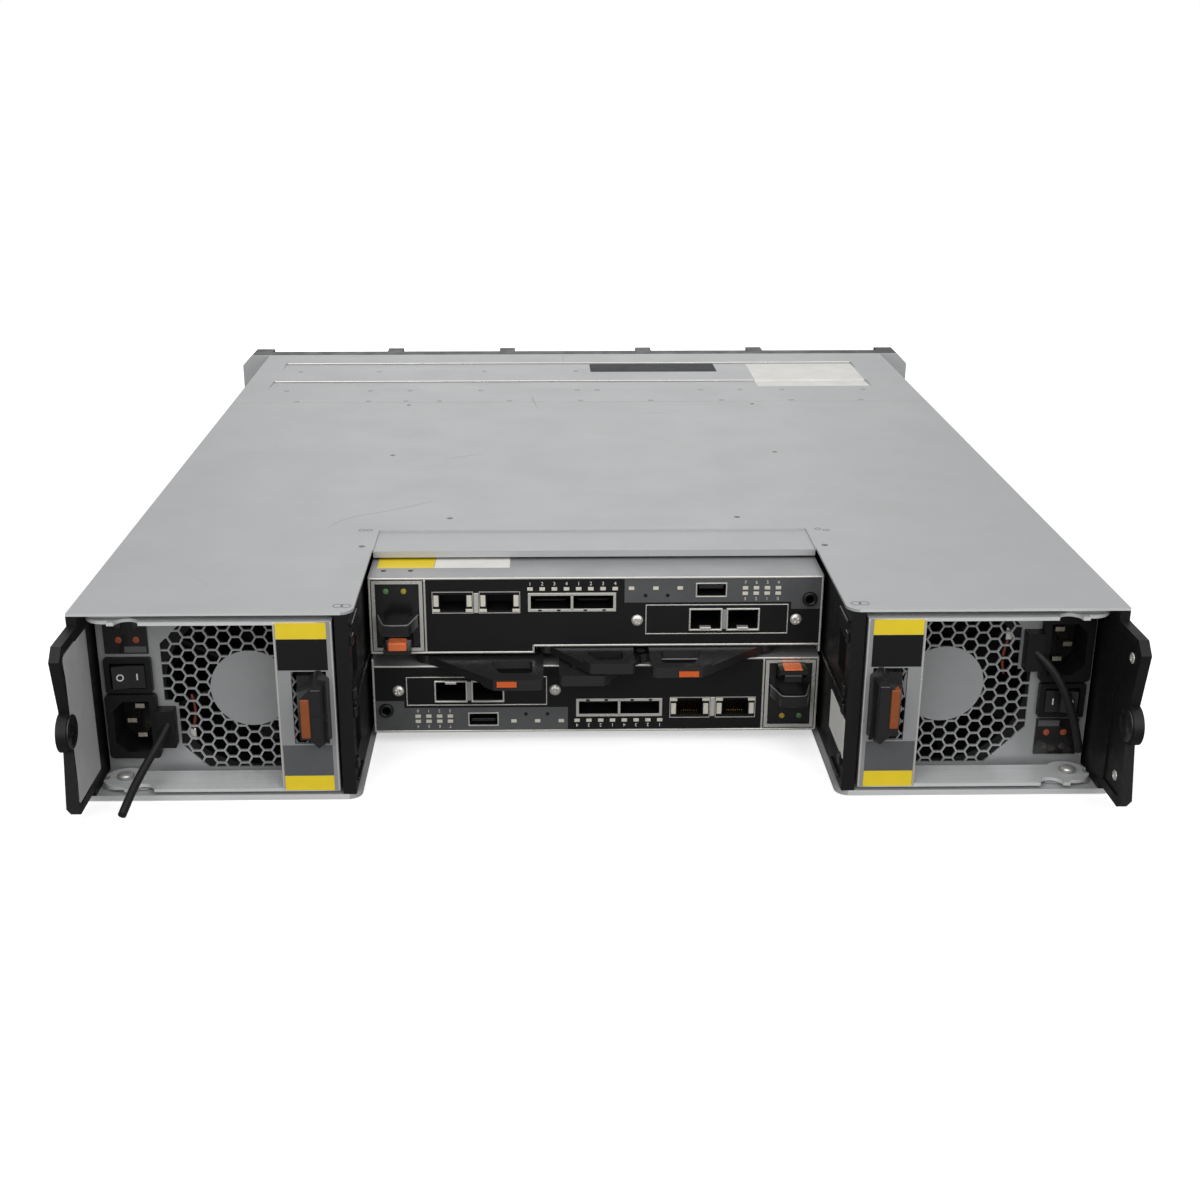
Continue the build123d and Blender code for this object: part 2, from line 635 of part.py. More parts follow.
def pcm_case():
    """Sheet box of the power module, open at its rear, with the ears and rivets of the handle."""
    outer = span(PCM_LEFT, PCM_RIGHT, PCM_LOW, PCM_HIGH)
    inner = span(PCM_LEFT + PCM_SHEET, PCM_RIGHT - PCM_SHEET, PCM_LOW + PCM_SHEET, PCM_HIGH - PCM_SHEET)
    case = along_y(outer - inner, PCM_FACE_Y, MODULE_FRONT)
    case += along_y(inner, MODULE_FRONT - PCM_SHEET, MODULE_FRONT)
    ear = span(PCM_LEFT, PCM_LEFT + PCM_EAR_WIDTH, PCM_FACE_Y - PCM_EAR_LENGTH, PCM_FACE_Y)
    ear = rounded(ear, PCM_EAR_CORNER, lambda v: v.Y < PCM_FACE_Y - 1)
    arm_top = ARM_LOW + HANDLE_SHEET
    pivot = Pos(PIVOT_X, PIVOT_Y)
    lug = along_z(ear, PCM_LOW, PCM_LOW + PCM_SHEET)
    lug += along_z(pivot * Circle(PIVOT_RADIUS), PCM_LOW, arm_top + HANDLE_ARM_GAP)
    head_low = arm_top + HANDLE_ARM_GAP
    lug += along_z(pivot * Circle(PIVOT_HEAD_RADIUS), head_low, head_low + PIVOT_HEAD)
    return case + lug + mirrored_z(lug)


def grille_field():
    """Area that the honeycomb fills: the duct's square with cut corners, less the disc over the motor."""
    half = FAN_SIZE / 2 - GRILLE_INSET
    field = centred(FAN_X, MID_Z, 2 * half, 2 * half)
    field = chamfer(field.vertices(), GRILLE_CORNER)
    field -= Pos(FAN_X, MID_Z) * Circle(GRILLE_HUB)
    anchor_top = INLET_Z + ANCHOR_HEIGHT / 2
    return field - span(PCM_LEFT, ANCHOR_RIGHT + GRILLE_EDGE, PCM_LOW, anchor_top + GRILLE_EDGE)


def honeycomb():
    """Hexagonal cells of the fan grille, trimmed to its field, without the smallest scraps."""
    column_pitch = CELL_PITCH * sqrt(3) / 2
    radius = (CELL_PITCH - CELL_WALL) / sqrt(3)
    field = grille_field()
    columns = int(FAN_SIZE / 2 / column_pitch) + 1
    rows = int(FAN_SIZE / 2 / CELL_PITCH) + 1
    cells = []
    for i in range(-columns, columns + 1):
        for j in range(-rows, rows + 1):
            x = FAN_X + i * column_pitch
            z = MID_Z + (j + 0.5 * (i % 2)) * CELL_PITCH
            cell = Pos(x, z) * RegularPolygon(radius, 6) & field
            cells += [face for face in cell.faces() if face.area > CELL_LEAST] if cell else []
    return cells


def pcm_face():
    """Rear sheet of the power module: honeycomb grille and openings for inlet, switch and lamps."""
    sheet = span(PCM_LEFT + PCM_SHEET, PCM_RIGHT - PCM_SHEET, PCM_LOW + PCM_SHEET, PCM_HIGH - PCM_SHEET)
    sheet -= centred(COLUMN_X, INLET_Z, INLET_BODY_WIDTH + FIT_GAP, INLET_BODY_HEIGHT + FIT_GAP)
    inset = 2 * SWITCH_BODY_INSET - FIT_GAP
    sheet -= centred(COLUMN_X, SWITCH_Z, SWITCH_BEZEL_WIDTH - inset, SWITCH_BEZEL_HEIGHT - inset)
    sheet -= centred(COLUMN_X, LAMP_Z, LAMP_WIDTH + FIT_GAP, LAMP_HEIGHT + FIT_GAP)
    sheet -= honeycomb()
    return along_y(sheet, PCM_FACE_Y, PCM_BACK_Y)


def pcm_inlet():
    """Three-pin mains inlet stood on end, with the cord strap's anchor block beside it."""
    front = PCM_FACE_Y - BEZEL_PROUD
    back = PCM_BACK_Y + INLET_BODY_DEPTH
    bezel = rounded(centred(COLUMN_X, INLET_Z, INLET_BEZEL_WIDTH, INLET_BEZEL_HEIGHT), INLET_CORNER)
    part = along_y(bezel, front, PCM_FACE_Y)
    part += along_y(centred(COLUMN_X, INLET_Z, INLET_BODY_WIDTH, INLET_BODY_HEIGHT), PCM_FACE_Y, back)
    anchor = span(ANCHOR_LEFT, ANCHOR_RIGHT, INLET_Z - ANCHOR_HEIGHT / 2, INLET_Z + ANCHOR_HEIGHT / 2)
    part += along_y(anchor, PCM_FACE_Y - ANCHOR_DEPTH, PCM_FACE_Y)
    mouth = centred(COLUMN_X, INLET_Z, INLET_MOUTH_WIDTH, INLET_MOUTH_HEIGHT)
    mouth = chamfer([v for v in mouth.vertices() if v.X < COLUMN_X], INLET_MOUTH_CHAMFER)
    floor_y = front + INLET_MOUTH_DEPTH
    part -= along_y(mouth, front, floor_y)
    live = COLUMN_X + INLET_PIN_OFFSET
    pins = centred(live, INLET_Z - INLET_PIN_PITCH, INLET_PIN_WIDTH, INLET_PIN_THICK)
    pins += centred(live, INLET_Z + INLET_PIN_PITCH, INLET_PIN_WIDTH, INLET_PIN_THICK)
    pins += centred(live - 2 * INLET_PIN_OFFSET, INLET_Z, INLET_PIN_WIDTH, INLET_PIN_THICK)
    return part + along_y(pins, floor_y - INLET_PIN_LENGTH, floor_y)


def pcm_switch_panel():
    """Housing of the rocker switch, and the lamp window above it as a second solid."""
    front = PCM_FACE_Y - BEZEL_PROUD
    bezel = rounded(centred(COLUMN_X, SWITCH_Z, SWITCH_BEZEL_WIDTH, SWITCH_BEZEL_HEIGHT), INLET_CORNER / 2)
    housing = along_y(bezel, front, PCM_FACE_Y)
    inset = 2 * SWITCH_BODY_INSET
    body = centred(COLUMN_X, SWITCH_Z, SWITCH_BEZEL_WIDTH - inset, SWITCH_BEZEL_HEIGHT - inset)
    housing += along_y(body, PCM_FACE_Y, PCM_BACK_Y + SWITCH_BODY_DEPTH)
    well = centred(COLUMN_X, SWITCH_Z, SWITCH_WELL_WIDTH, SWITCH_WELL_HEIGHT)
    housing -= along_y(well, front, front + SWITCH_WELL_DEPTH)
    bore = Pos(COLUMN_X, front + SWITCH_WELL_DEPTH / 2) * Circle(ROCKER_PIN_RADIUS + PIN_GAP)
    housing -= along_z(bore, SWITCH_Z - SWITCH_BEZEL_HEIGHT / 2, SWITCH_Z + SWITCH_BEZEL_HEIGHT / 2)
    window = centred(COLUMN_X, LAMP_Z, LAMP_WIDTH, LAMP_HEIGHT)
    window = along_y(window, PCM_FACE_Y - LAMP_DEPTH / 2, PCM_BACK_Y)
    return Compound([*housing.solids(), *window.solids()])


def pcm_switch():
    """Rocker with two shallow faces and pivot pins, resting with its outer half pressed."""
    half = SWITCH_WELL_WIDTH / 2 - ROCKER_GAP
    tall = SWITCH_WELL_HEIGHT / 2 - ROCKER_GAP
    axis_y = PCM_FACE_Y - BEZEL_PROUD + SWITCH_WELL_DEPTH / 2
    edge = axis_y - SWITCH_WELL_DEPTH / 2 + ROCKER_GAP
    rise = half * tan(radians(ROCKER_TILT))
    section = Polygon(
        (COLUMN_X - half, edge - ROCKER_RISE),
        (COLUMN_X, edge - ROCKER_RISE + rise),
        (COLUMN_X + half, edge - ROCKER_RISE),
        (COLUMN_X + half * cos(radians(ROCKER_TILT)) - rise, edge + ROCKER_RISE),
        (COLUMN_X, axis_y + ROCKER_RISE),
        (COLUMN_X - half * cos(radians(ROCKER_TILT)) + rise, edge + ROCKER_RISE),
        align=None,
    )
    rocker = along_z(section, SWITCH_Z - tall, SWITCH_Z + tall)
    pin = Pos(COLUMN_X, axis_y) * Circle(ROCKER_PIN_RADIUS)
    rocker += along_z(pin, SWITCH_Z - tall - ROCKER_PIN_REACH, SWITCH_Z + tall + ROCKER_PIN_REACH)
    return rocker.rotate(Axis((COLUMN_X, axis_y, SWITCH_Z), (0, 0, 1)), ROCKER_TILT)


def pcm_handle():
    """Handle bent from one sheet: arms above and below the module's face, grip plate and flange."""
    back = PCM_FACE_Y - HANDLE_BACK_GAP
    arm = span(PIVOT_X + HANDLE_ARM_START, PLATE_RIGHT, PLATE_Y, back)
    arm += Pos(PIVOT_X, PIVOT_Y) * Circle(HANDLE_END_RADIUS)
    arm -= Pos(PIVOT_X, PIVOT_Y) * Circle(PIVOT_RADIUS + PIN_GAP)
    arm -= Pos(PIVOT_X + HANDLE_NOTCH_X, PLATE_Y) * Circle(HANDLE_NOTCH_RADIUS)
    arm -= Pos(PIVOT_X - HANDLE_END_RADIUS, PIVOT_Y) * Circle(HANDLE_CLAW_RADIUS)
    part = along_z(arm, ARM_LOW, ARM_LOW + HANDLE_SHEET)
    part += mirrored_z(part)
    plate = span(PLATE_LEFT, PLATE_RIGHT, ARM_LOW, ARM_HIGH)
    plate -= centred(PLATE_LEFT + WINDOW_LEFT + WINDOW_WIDTH / 2, MID_Z, WINDOW_WIDTH, WINDOW_HEIGHT)
    part += along_y(plate, PLATE_Y, PLATE_Y + HANDLE_SHEET)
    flange = span(PLATE_RIGHT - HANDLE_SHEET, PLATE_RIGHT, ARM_LOW, ARM_HIGH)
    return part + along_y(flange, PLATE_Y, PLATE_Y + HANDLE_FLANGE)


def pcm_latch():
    """Thumb latch: bevelled head outside the grip plate, stem through its window."""
    left = PLATE_LEFT + LATCH_HEAD_LEFT
    head = centred(left + LATCH_HEAD_WIDTH / 2, MID_Z, LATCH_HEAD_WIDTH, LATCH_HEAD_HEIGHT)
    head = chamfer([v for v in head.vertices() if v.X < left + 1], LATCH_CHAMFER)
    right = left + LATCH_HEAD_WIDTH
    head = chamfer([v for v in head.vertices() if v.X > right - 1], LATCH_BACK_CHAMFER)
    seat = PLATE_Y - RUN_GAP
    part = extrude(Plane.XZ.offset(-seat) * head, LATCH_HEAD_DEPTH, dir=(0, -1, 0), taper=LATCH_TAPER)
    stem_left = PLATE_LEFT + LATCH_STEM_LEFT
    stem = centred(stem_left + LATCH_STEM_WIDTH / 2, MID_Z, LATCH_STEM_WIDTH, LATCH_STEM_HEIGHT)
    return part + along_y(stem, seat, seat + LATCH_STEM_DEPTH)


def pcm_fan_frame():
    """Fan housing behind the honeycomb: square duct, struts, motor base and shaft."""
    back = PCM_BACK_Y + FAN_DEPTH
    duct = centred(FAN_X, MID_Z, FAN_SIZE, FAN_SIZE) - Pos(FAN_X, MID_Z) * Circle(FAN_BORE)
    part = along_y(duct, PCM_BACK_Y, back)
    hub = Pos(FAN_X, MID_Z) * Circle(FAN_MOTOR_RADIUS)
    for k in range(FAN_STRUTS):
        bar = span(0, FAN_BORE + FAN_WALL / 2, -FAN_STRUT_WIDTH / 2, FAN_STRUT_WIDTH / 2)
        hub += Pos(FAN_X, MID_Z) * Rot(0, 0, 90 + k * 360 / FAN_STRUTS) * bar
    part += along_y(hub, back - FAN_MOTOR_DEPTH, back)
    shaft = Pos(FAN_X, MID_Z) * Circle(FAN_SHAFT_RADIUS)
    shaft_tip = back - FAN_MOTOR_DEPTH - FAN_SHAFT_LENGTH
    return part + along_y(shaft, shaft_tip, back - FAN_MOTOR_DEPTH)


def pcm_fan_rotor():
    """Fan rotor: cup hub with a bore for the shaft and pitched blades trimmed to the duct."""
    hub_back = PCM_BACK_Y + FAN_DEPTH - FAN_MOTOR_DEPTH - RUN_GAP
    hub_front = hub_back - FAN_HUB_DEPTH
    centre = Pos(FAN_X, MID_Z)
    part = along_y(centre * Circle(FAN_HUB_RADIUS), hub_front, hub_back)
    tip = FAN_BORE - FAN_TIP_GAP
    swept = along_y(centre * (Circle(tip) - Circle(FAN_HUB_RADIUS - 1)), hub_front, hub_back)
    middle = (hub_front + hub_back) / 2
    blades = Part()
    for k in range(FAN_BLADES):
        blade = Rot(FAN_BLADE_PITCH, 0, 0) * Box(FAN_BORE, FAN_BLADE_CHORD, FAN_BLADE_THICK)
        turn = Rot(0, k * 360 / FAN_BLADES, 0)
        blades += Pos(FAN_X, middle, MID_Z) * turn * Pos(FAN_BORE / 2, 0, 0) * blade
    part += blades & swept
    bore = centre * Circle(FAN_SHAFT_RADIUS + PIN_GAP)
    return part - along_y(bore, hub_back - FAN_SHAFT_LENGTH - RUN_GAP, hub_back)


def pcm_supply():
    """Power supply board behind the fan: two heat sinks, a transformer and two capacitors."""
    left, right = PCM_LEFT + PCM_SHEET + SUPPLY_SIDE, PCM_RIGHT - PCM_SHEET - SUPPLY_SIDE
    back, front = PCM_BACK_Y + FAN_DEPTH + SUPPLY_BACK, MODULE_FRONT - PCM_SHEET
    low = PCM_LOW + PCM_SHEET + SUPPLY_LOW
    top = low + PCB_THICK
    part = block(left, right, back, front, low, top)
    for x in (left, right - SINK_WIDTH):
        part += block(x, x + SINK_WIDTH, front - SINK_LENGTH, front, top, top + SINK_HEIGHT)
    middle = (left + right) / 2
    core = Pos(middle, front - CORE_SIZE) * Rectangle(CORE_SIZE, CORE_SIZE)
    part += along_z(core, top, top + CORE_SIZE)
    for step in (1, 2):
        can = Pos(middle, front - CORE_SIZE - step * CAN_PITCH) * Circle(CAN_RADIUS)
        part += along_z(can, top, top + CAN_HEIGHT)
    stand_off = along_z(span(left, right, front - PCB_THICK, front), PCM_LOW + PCM_SHEET, low)
    return part + stand_off


def strap(points):
    """Cord strap: a plain tube along straight runs joined by tangent arcs."""
    corners = [Vector(p) for p in points]
    radii = []
    for before, at, after in zip(corners, corners[1:], corners[2:]):
        turn = (at - before).get_angle(after - at)
        shorter = min((at - before).length, (after - at).length)
        radii.append(0.45 * shorter / tan(radians(turn / 2)))
    print("strap radii", [round(r, 1) for r in radii])
    path = FilletPolyline(*points, radius=radii)
    section = Plane(origin=points[0], z_dir=path % 0) * Circle(STRAP_RADIUS)
    tube = sweep(section, path=path)
    print("strap volume", round(tube.volume, 2), "section by length", round(section.area * path.length, 2))
    return tube


def controller_case():
    """Canister shell with the battery bay, the lever pocket and the lever pins."""
    outer = span(-CTRL_HALF_WIDTH, CTRL_HALF_WIDTH, CTRL_LOW, CTRL_HIGH)
    bay_left = -CTRL_HALF_WIDTH + CTRL_SHEET
    low, high = CTRL_LOW + CTRL_SHEET, CTRL_HIGH - CTRL_SHEET
    hollow = span(bay_left, CTRL_DIVIDER_X, low, high)
    hollow += span(CTRL_DIVIDER_X + CTRL_SHEET, POCKET_RIGHT, low, high)
    part = along_y(outer - hollow, CTRL_Y, MODULE_FRONT)
    part += along_y(outer, MODULE_FRONT - CTRL_SHEET, MODULE_FRONT)
    back = CTRL_Y + POCKET_DEPTH
    left = POCKET_LEFT
    roof = POCKET_TOP + CTRL_SHEET
    part += block(left - CTRL_SHEET, POCKET_RIGHT, CTRL_Y, back + CTRL_SHEET, CTRL_LOW, roof)
    part -= block(left, POCKET_RIGHT, CTRL_Y, back, CTRL_LOW, POCKET_TOP)
    for x in (LONG_PIVOT_X, SHORT_PIVOT_X):
        part += along_z(Pos(x, LEVER_PIN_Y) * Circle(LEVER_PIN_RADIUS), LEVER_BOTTOM, POCKET_TOP)
    return part


def port_openings():
    """Outlines of the sockets in the controller face."""
    openings = centred(SAS_X, SAS_Z, SAS_WIDTH, SAS_HEIGHT)
    for x in RJ_X:
        openings += centred(x, RJ_Z, RJ_WIDTH, RJ_HEIGHT)
    openings += centred(USB_X, USB_Z, USB_WIDTH, USB_HEIGHT)
    return openings + Pos(JACK_X, JACK_Z) * Circle(JACK_RADIUS)


def controller_face():
    """Black faceplate of the canister, stepped up over the lever pocket."""
    left = CTRL_DIVIDER_X + CTRL_SHEET
    low, high = CTRL_LOW + CTRL_SHEET, CTRL_HIGH - CTRL_SHEET
    plate = span(left, POCKET_RIGHT, POCKET_TOP + CTRL_SHEET, high)
    plate += span(left, POCKET_LEFT - CTRL_SHEET, low, high)
    plate -= port_openings()
    window = centred(CARD_X, CARD_Z, CARD_WIDTH + FIT_GAP, CARD_HEIGHT + FIT_GAP)
    return along_y(plate - window, CTRL_Y, CTRL_FACE_BACK)


def shelf_socket():
    """Double shelf socket: one shell with two mouths side by side."""
    outline = centred(SAS_X, SAS_Z, SAS_WIDTH - FIT_GAP, SAS_HEIGHT - FIT_GAP)
    shell = along_y(outline, CTRL_Y, CTRL_Y + SAS_DEPTH)
    mouth = (SAS_WIDTH - 3 * SAS_RIM) / 2
    for side in (-1, 1):
        opening = centred(SAS_X + side * (mouth + SAS_RIM) / 2, SAS_Z, mouth, SAS_HEIGHT - 2 * SAS_RIM)
        shell -= along_y(opening, CTRL_Y, CTRL_Y + SOCKET_DEPTH)
    return shell


def network_socket(x, board_top):
    """Network socket standing on the board, with a collar in the face's opening."""
    half, tall = (RJ_WIDTH - FIT_GAP) / 2, (RJ_HEIGHT - FIT_GAP) / 2
    shell = along_y(centred(x, RJ_Z, 2 * half, 2 * tall), CTRL_Y, CTRL_FACE_BACK)
    shell += along_y(span(x - half, x + half, board_top, RJ_Z + tall), CTRL_FACE_BACK, CTRL_Y + RJ_DEPTH)
    mouth_low = max(RJ_Z - RJ_MOUTH_HEIGHT / 2, board_top + FIT_GAP)
    mouth = span(x - RJ_MOUTH / 2, x + RJ_MOUTH / 2, mouth_low, RJ_Z + RJ_MOUTH_HEIGHT / 2)
    return shell - along_y(mouth, CTRL_Y, CTRL_Y + SOCKET_DEPTH)


def serial_socket(board_top):
    """Serial-bus socket raised off the board by its base."""
    half = (USB_WIDTH - FIT_GAP) / 2
    shell = along_y(centred(USB_X, USB_Z, 2 * half, USB_HEIGHT - FIT_GAP), CTRL_Y, CTRL_Y + USB_DEPTH)
    shell += along_y(span(USB_X - half, USB_X + half, board_top, USB_Z), CTRL_FACE_BACK, CTRL_Y + USB_DEPTH)
    mouth = centred(USB_X, USB_Z, USB_WIDTH - 2 * USB_RIM, USB_HEIGHT - 2 * USB_RIM)
    return shell - along_y(mouth, CTRL_Y, CTRL_Y + SOCKET_DEPTH)


def controller_board():
    """Main board on two levels with its jack, and the sockets that stand on it as solids of their own."""
    lower_top = SAS_Z - (SAS_HEIGHT - FIT_GAP) / 2
    upper_top = CARD_LOW + CARD_HEIGHT + RUN_GAP + PCB_THICK
    left, right = CTRL_DIVIDER_X + CTRL_SHEET + RUN_GAP, POCKET_RIGHT - RUN_GAP
    profile = span(left, PCB_SPLIT_X, lower_top - PCB_THICK, lower_top)
    profile += span(PCB_SPLIT_X - PCB_THICK, PCB_SPLIT_X, lower_top - PCB_THICK, upper_top)
    profile += span(PCB_SPLIT_X - PCB_THICK, right, upper_top - PCB_THICK, upper_top)
    board = along_y(profile, CTRL_FACE_BACK, CTRL_FACE_BACK + PCB_DEPTH)
    board += along_y(Pos(JACK_X, JACK_Z) * Circle(JACK_RADIUS - FIT_GAP), CTRL_Y, CTRL_Y + JACK_DEPTH)
    board -= along_y(Pos(JACK_X, JACK_Z) * Circle(JACK_BORE), CTRL_Y, CTRL_Y + SOCKET_DEPTH)
    pieces = [board, shelf_socket(), serial_socket(upper_top)]
    pieces += [network_socket(x, lower_top) for x in RJ_X]
    return Compound([solid for piece in pieces for solid in piece.solids()])


def controller_io_card():
    """Interface card: bracket behind the face, panel in its window and two open cages."""
    part = along_y(centred(CARD_X, CARD_Z, CARD_WIDTH, CARD_HEIGHT), CTRL_Y, CTRL_FACE_BACK)
    bracket = centred(CARD_X, CARD_Z, CARD_WIDTH + 2 * CARD_FLANGE, CARD_HEIGHT)
    part += along_y(bracket, CTRL_FACE_BACK, CTRL_FACE_BACK + CARD_PLATE)
    for x in CAGE_X:
        part += along_y(centred(x, CARD_Z, CAGE_WIDTH, CAGE_HEIGHT), CTRL_Y, CTRL_Y + CAGE_DEPTH)
    for x in CAGE_X:
        inner = centred(x, CARD_Z, CAGE_WIDTH - 2 * CAGE_WALL, CAGE_HEIGHT - 2 * CAGE_WALL)
        part -= along_y(inner, CTRL_Y, CTRL_Y + CAGE_DEPTH - CAGE_WALL)
    return part


def lever_plan(pivot_x, end_x, rim, reach):
    """Plan of a lever: boss at its pivot, slanting edge, and a rim at the free end."""
    way = 1 if pivot_x > end_x else -1
    back = CTRL_Y + LEVER_BACK
    tip = CTRL_Y - reach
    plan = Polygon(
        (end_x, back),
        (end_x, tip),
        (end_x + way * rim, tip),
        (pivot_x, LEVER_PIN_Y - LEVER_BOSS),
        (pivot_x, back),
        align=None,
    )
    plan = rounded(plan, LEVER_CORNER)
    plan += Pos(pivot_x, LEVER_PIN_Y) * Circle(LEVER_BOSS)
    plan -= Pos(pivot_x, LEVER_PIN_Y) * Circle(LEVER_PIN_RADIUS + PIN_GAP)
    hole = Polygon(
        (end_x + way * LEVER_SIDE, CTRL_Y - LEVER_SIDE),
        (end_x + way * LEVER_SIDE, tip + LEVER_RIM),
        (end_x + way * (rim - LEVER_CORNER), tip + LEVER_RIM),
        (end_x + way * (rim + LEVER_CORNER), CTRL_Y - LEVER_SIDE),
        align=None,
    )
    return plan - rounded(hole, LEVER_CORNER)


def lever(pivot_x, end_x, rim, reach):
    """Flat lever with a raised lip along its free edge."""
    plan = lever_plan(pivot_x, end_x, rim, reach)
    tip = CTRL_Y - reach
    lip = plan & span(-CTRL_HALF_WIDTH, CTRL_HALF_WIDTH, tip, tip + LEVER_LIP_WIDTH)
    return along_z(plan, LEVER_BOTTOM, LEVER_TOP) + along_z(lip, LEVER_TOP, LEVER_TOP + LEVER_LIP)


def controller_lever_long():
    """Longer lever, with a pocket in its rim for the release tab."""
    part = lever(LONG_PIVOT_X, LONG_END_X, LONG_RIM, LEVER_REACH)
    middle = (LEVER_BOTTOM + LEVER_TOP) / 2
    tip = CTRL_Y - LEVER_REACH
    pocket = centred(TAB_X, middle, TAB_WIDTH + FIT_GAP, TAB_HEIGHT + FIT_GAP)
    return part - along_y(pocket, tip, tip + TAB_LENGTH + TAB_TRAVEL - TAB_PROUD + RUN_GAP)


def controller_lever_short():
    """Shorter lever."""
    return lever(SHORT_PIVOT_X, SHORT_END_X, SHORT_RIM, SHORT_REACH)


def controller_release_tab():
    """Sprung tab in the long lever's rim."""
    middle = (LEVER_BOTTOM + LEVER_TOP) / 2
    outer = CTRL_Y - LEVER_REACH - TAB_PROUD
    tab = centred(TAB_X, middle, TAB_WIDTH - FIT_GAP, TAB_HEIGHT - FIT_GAP)
    return along_y(tab, outer, outer + TAB_LENGTH)


def controller_battery():
    """Battery module: box with a raised frame round its face and a looped grip."""
    part = block(BATTERY_LEFT, BATTERY_RIGHT, CTRL_Y, CTRL_Y + BATTERY_LENGTH, BATTERY_LOW, BATTERY_HIGH)
    field = span(BATTERY_LEFT + BATTERY_FRAME, BATTERY_RIGHT - BATTERY_FRAME,
                 BATTERY_LOW + BATTERY_FRAME, BATTERY_HIGH - BATTERY_FRAME)
    face_y = CTRL_Y + BATTERY_FACE_DEPTH
    part -= along_y(field, CTRL_Y, face_y)
    tip_y = CTRL_Y - GRIP_REACH

    def grip_plan(inset):
        return Polygon(
            (BATTERY_X - GRIP_ROOT / 2 + inset, face_y),
            (BATTERY_X - GRIP_TIP / 2 + inset / 2, tip_y + inset),
            (BATTERY_X + GRIP_TIP / 2 - inset / 2, tip_y + inset),
            (BATTERY_X + GRIP_ROOT / 2 - inset, face_y),
            align=None,
        )

    low = BATTERY_LOW + GRIP_Z
    part += along_z(grip_plan(0) - grip_plan(GRIP_BAR), low, low + GRIP_HEIGHT)
    slot_low = BATTERY_LOW + CATCH_LOW - FIT_GAP
    slot = span(BATTERY_X - CATCH_WIDTH / 2 - FIT_GAP, BATTERY_X + CATCH_WIDTH / 2 + FIT_GAP,
                slot_low, slot_low + CATCH_HEIGHT + CATCH_TRAVEL + 2 * FIT_GAP)
    return part - along_y(slot, CTRL_Y, face_y + CATCH_RISE)


def controller_battery_catch():
    """Release catch under the battery's grip: a tongue in its slot and a lipped thumb pad."""
    low = BATTERY_LOW + CATCH_LOW
    half = CATCH_WIDTH / 2
    face_y = CTRL_Y + BATTERY_FACE_DEPTH
    section = Polygon(
        (face_y + CATCH_RISE - FIT_GAP, low),
        (CTRL_Y - CATCH_REACH, low),
        (CTRL_Y - CATCH_REACH, low + CATCH_LIP),
        (CTRL_Y - CATCH_REACH / 2, low + CATCH_HEIGHT),
        (face_y + CATCH_RISE - FIT_GAP, low + CATCH_HEIGHT),
        align=None,
    )
    return along_x(section, BATTERY_X - half, BATTERY_X + half)


MODULE_PIECES = {
    "case": pcm_case,
    "face": pcm_face,
    "inlet": pcm_inlet,
    "switch_panel": pcm_switch_panel,
    "switch": pcm_switch,
    "handle": pcm_handle,
    "latch": pcm_latch,
    "fan_frame": pcm_fan_frame,
    "fan_rotor": pcm_fan_rotor,
    "supply": pcm_supply,
}
CONTROLLER_PIECES = {
    "case": controller_case,
    "face": controller_face,
    "board": controller_board,
    "io_card": controller_io_card,
    "lever_long": controller_lever_long,
    "lever_short": controller_lever_short,
    "release_tab": controller_release_tab,
    "battery": controller_battery,
    "battery_catch": controller_battery_catch,
}


def build():
    """Every node of the enclosure by name."""
    nodes = {
        "chassis_tray": chassis_tray(),
        "rear_cover": rear_cover(),
        "front_cover": front_cover(),
        "front_trim": front_trim(),
        "drive_cage": drive_cage(),
        "midplane": midplane(),
        "bay_walls": left_and_right(bay_wall()),
        "side_guards": left_and_right(side_guard()),
    }
    for name, make in MODULE_PIECES.items():
        piece = make()
        nodes[f"pcm_left_{name}"] = piece
        nodes[f"pcm_right_{name}"] = turned(piece)
    nodes["pcm_left_strap"] = strap(LEFT_STRAP)
    nodes["pcm_right_strap"] = strap(RIGHT_STRAP)
    for name, make in CONTROLLER_PIECES.items():
        piece = make()
        nodes[f"controller_upper_{name}"] = piece
        nodes[f"controller_lower_{name}"] = turned(piece)
    for number, (x, z) in enumerate(BAY_CENTRES, start=1):
        nodes[f"drive_{number:02d}"] = drive_carrier(x, z)
    return nodes


os.makedirs("parts", exist_ok=True)
for node, shape in build().items():
    export_step(shape, f"parts/{node}.step")
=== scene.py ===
"""Dressed model of a two-unit disk shelf enclosure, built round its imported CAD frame."""

import logging
import math
from dataclasses import dataclass, field
from enum import Enum
from typing import Callable, Dict, List, Optional, Sequence, Tuple

import bpy
from mathutils import Matrix, Vector

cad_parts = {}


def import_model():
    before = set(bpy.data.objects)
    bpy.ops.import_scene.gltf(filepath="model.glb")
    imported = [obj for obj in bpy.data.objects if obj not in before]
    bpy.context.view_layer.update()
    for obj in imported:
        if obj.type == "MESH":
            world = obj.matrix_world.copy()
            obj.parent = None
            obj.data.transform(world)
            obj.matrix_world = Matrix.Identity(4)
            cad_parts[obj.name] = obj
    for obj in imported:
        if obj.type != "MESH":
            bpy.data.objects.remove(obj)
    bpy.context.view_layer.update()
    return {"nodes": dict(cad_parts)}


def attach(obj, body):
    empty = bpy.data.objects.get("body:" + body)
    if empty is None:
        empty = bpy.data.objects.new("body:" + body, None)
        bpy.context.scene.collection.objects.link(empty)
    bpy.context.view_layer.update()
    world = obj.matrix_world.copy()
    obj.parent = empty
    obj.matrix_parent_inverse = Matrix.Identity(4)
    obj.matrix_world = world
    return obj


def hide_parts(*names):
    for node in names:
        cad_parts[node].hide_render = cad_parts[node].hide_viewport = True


Obj = bpy.types.Object
Pair = Tuple[float, float]
Point = Tuple[float, float, float]
Choice = Callable[[Sequence[Vector], Vector], bool]

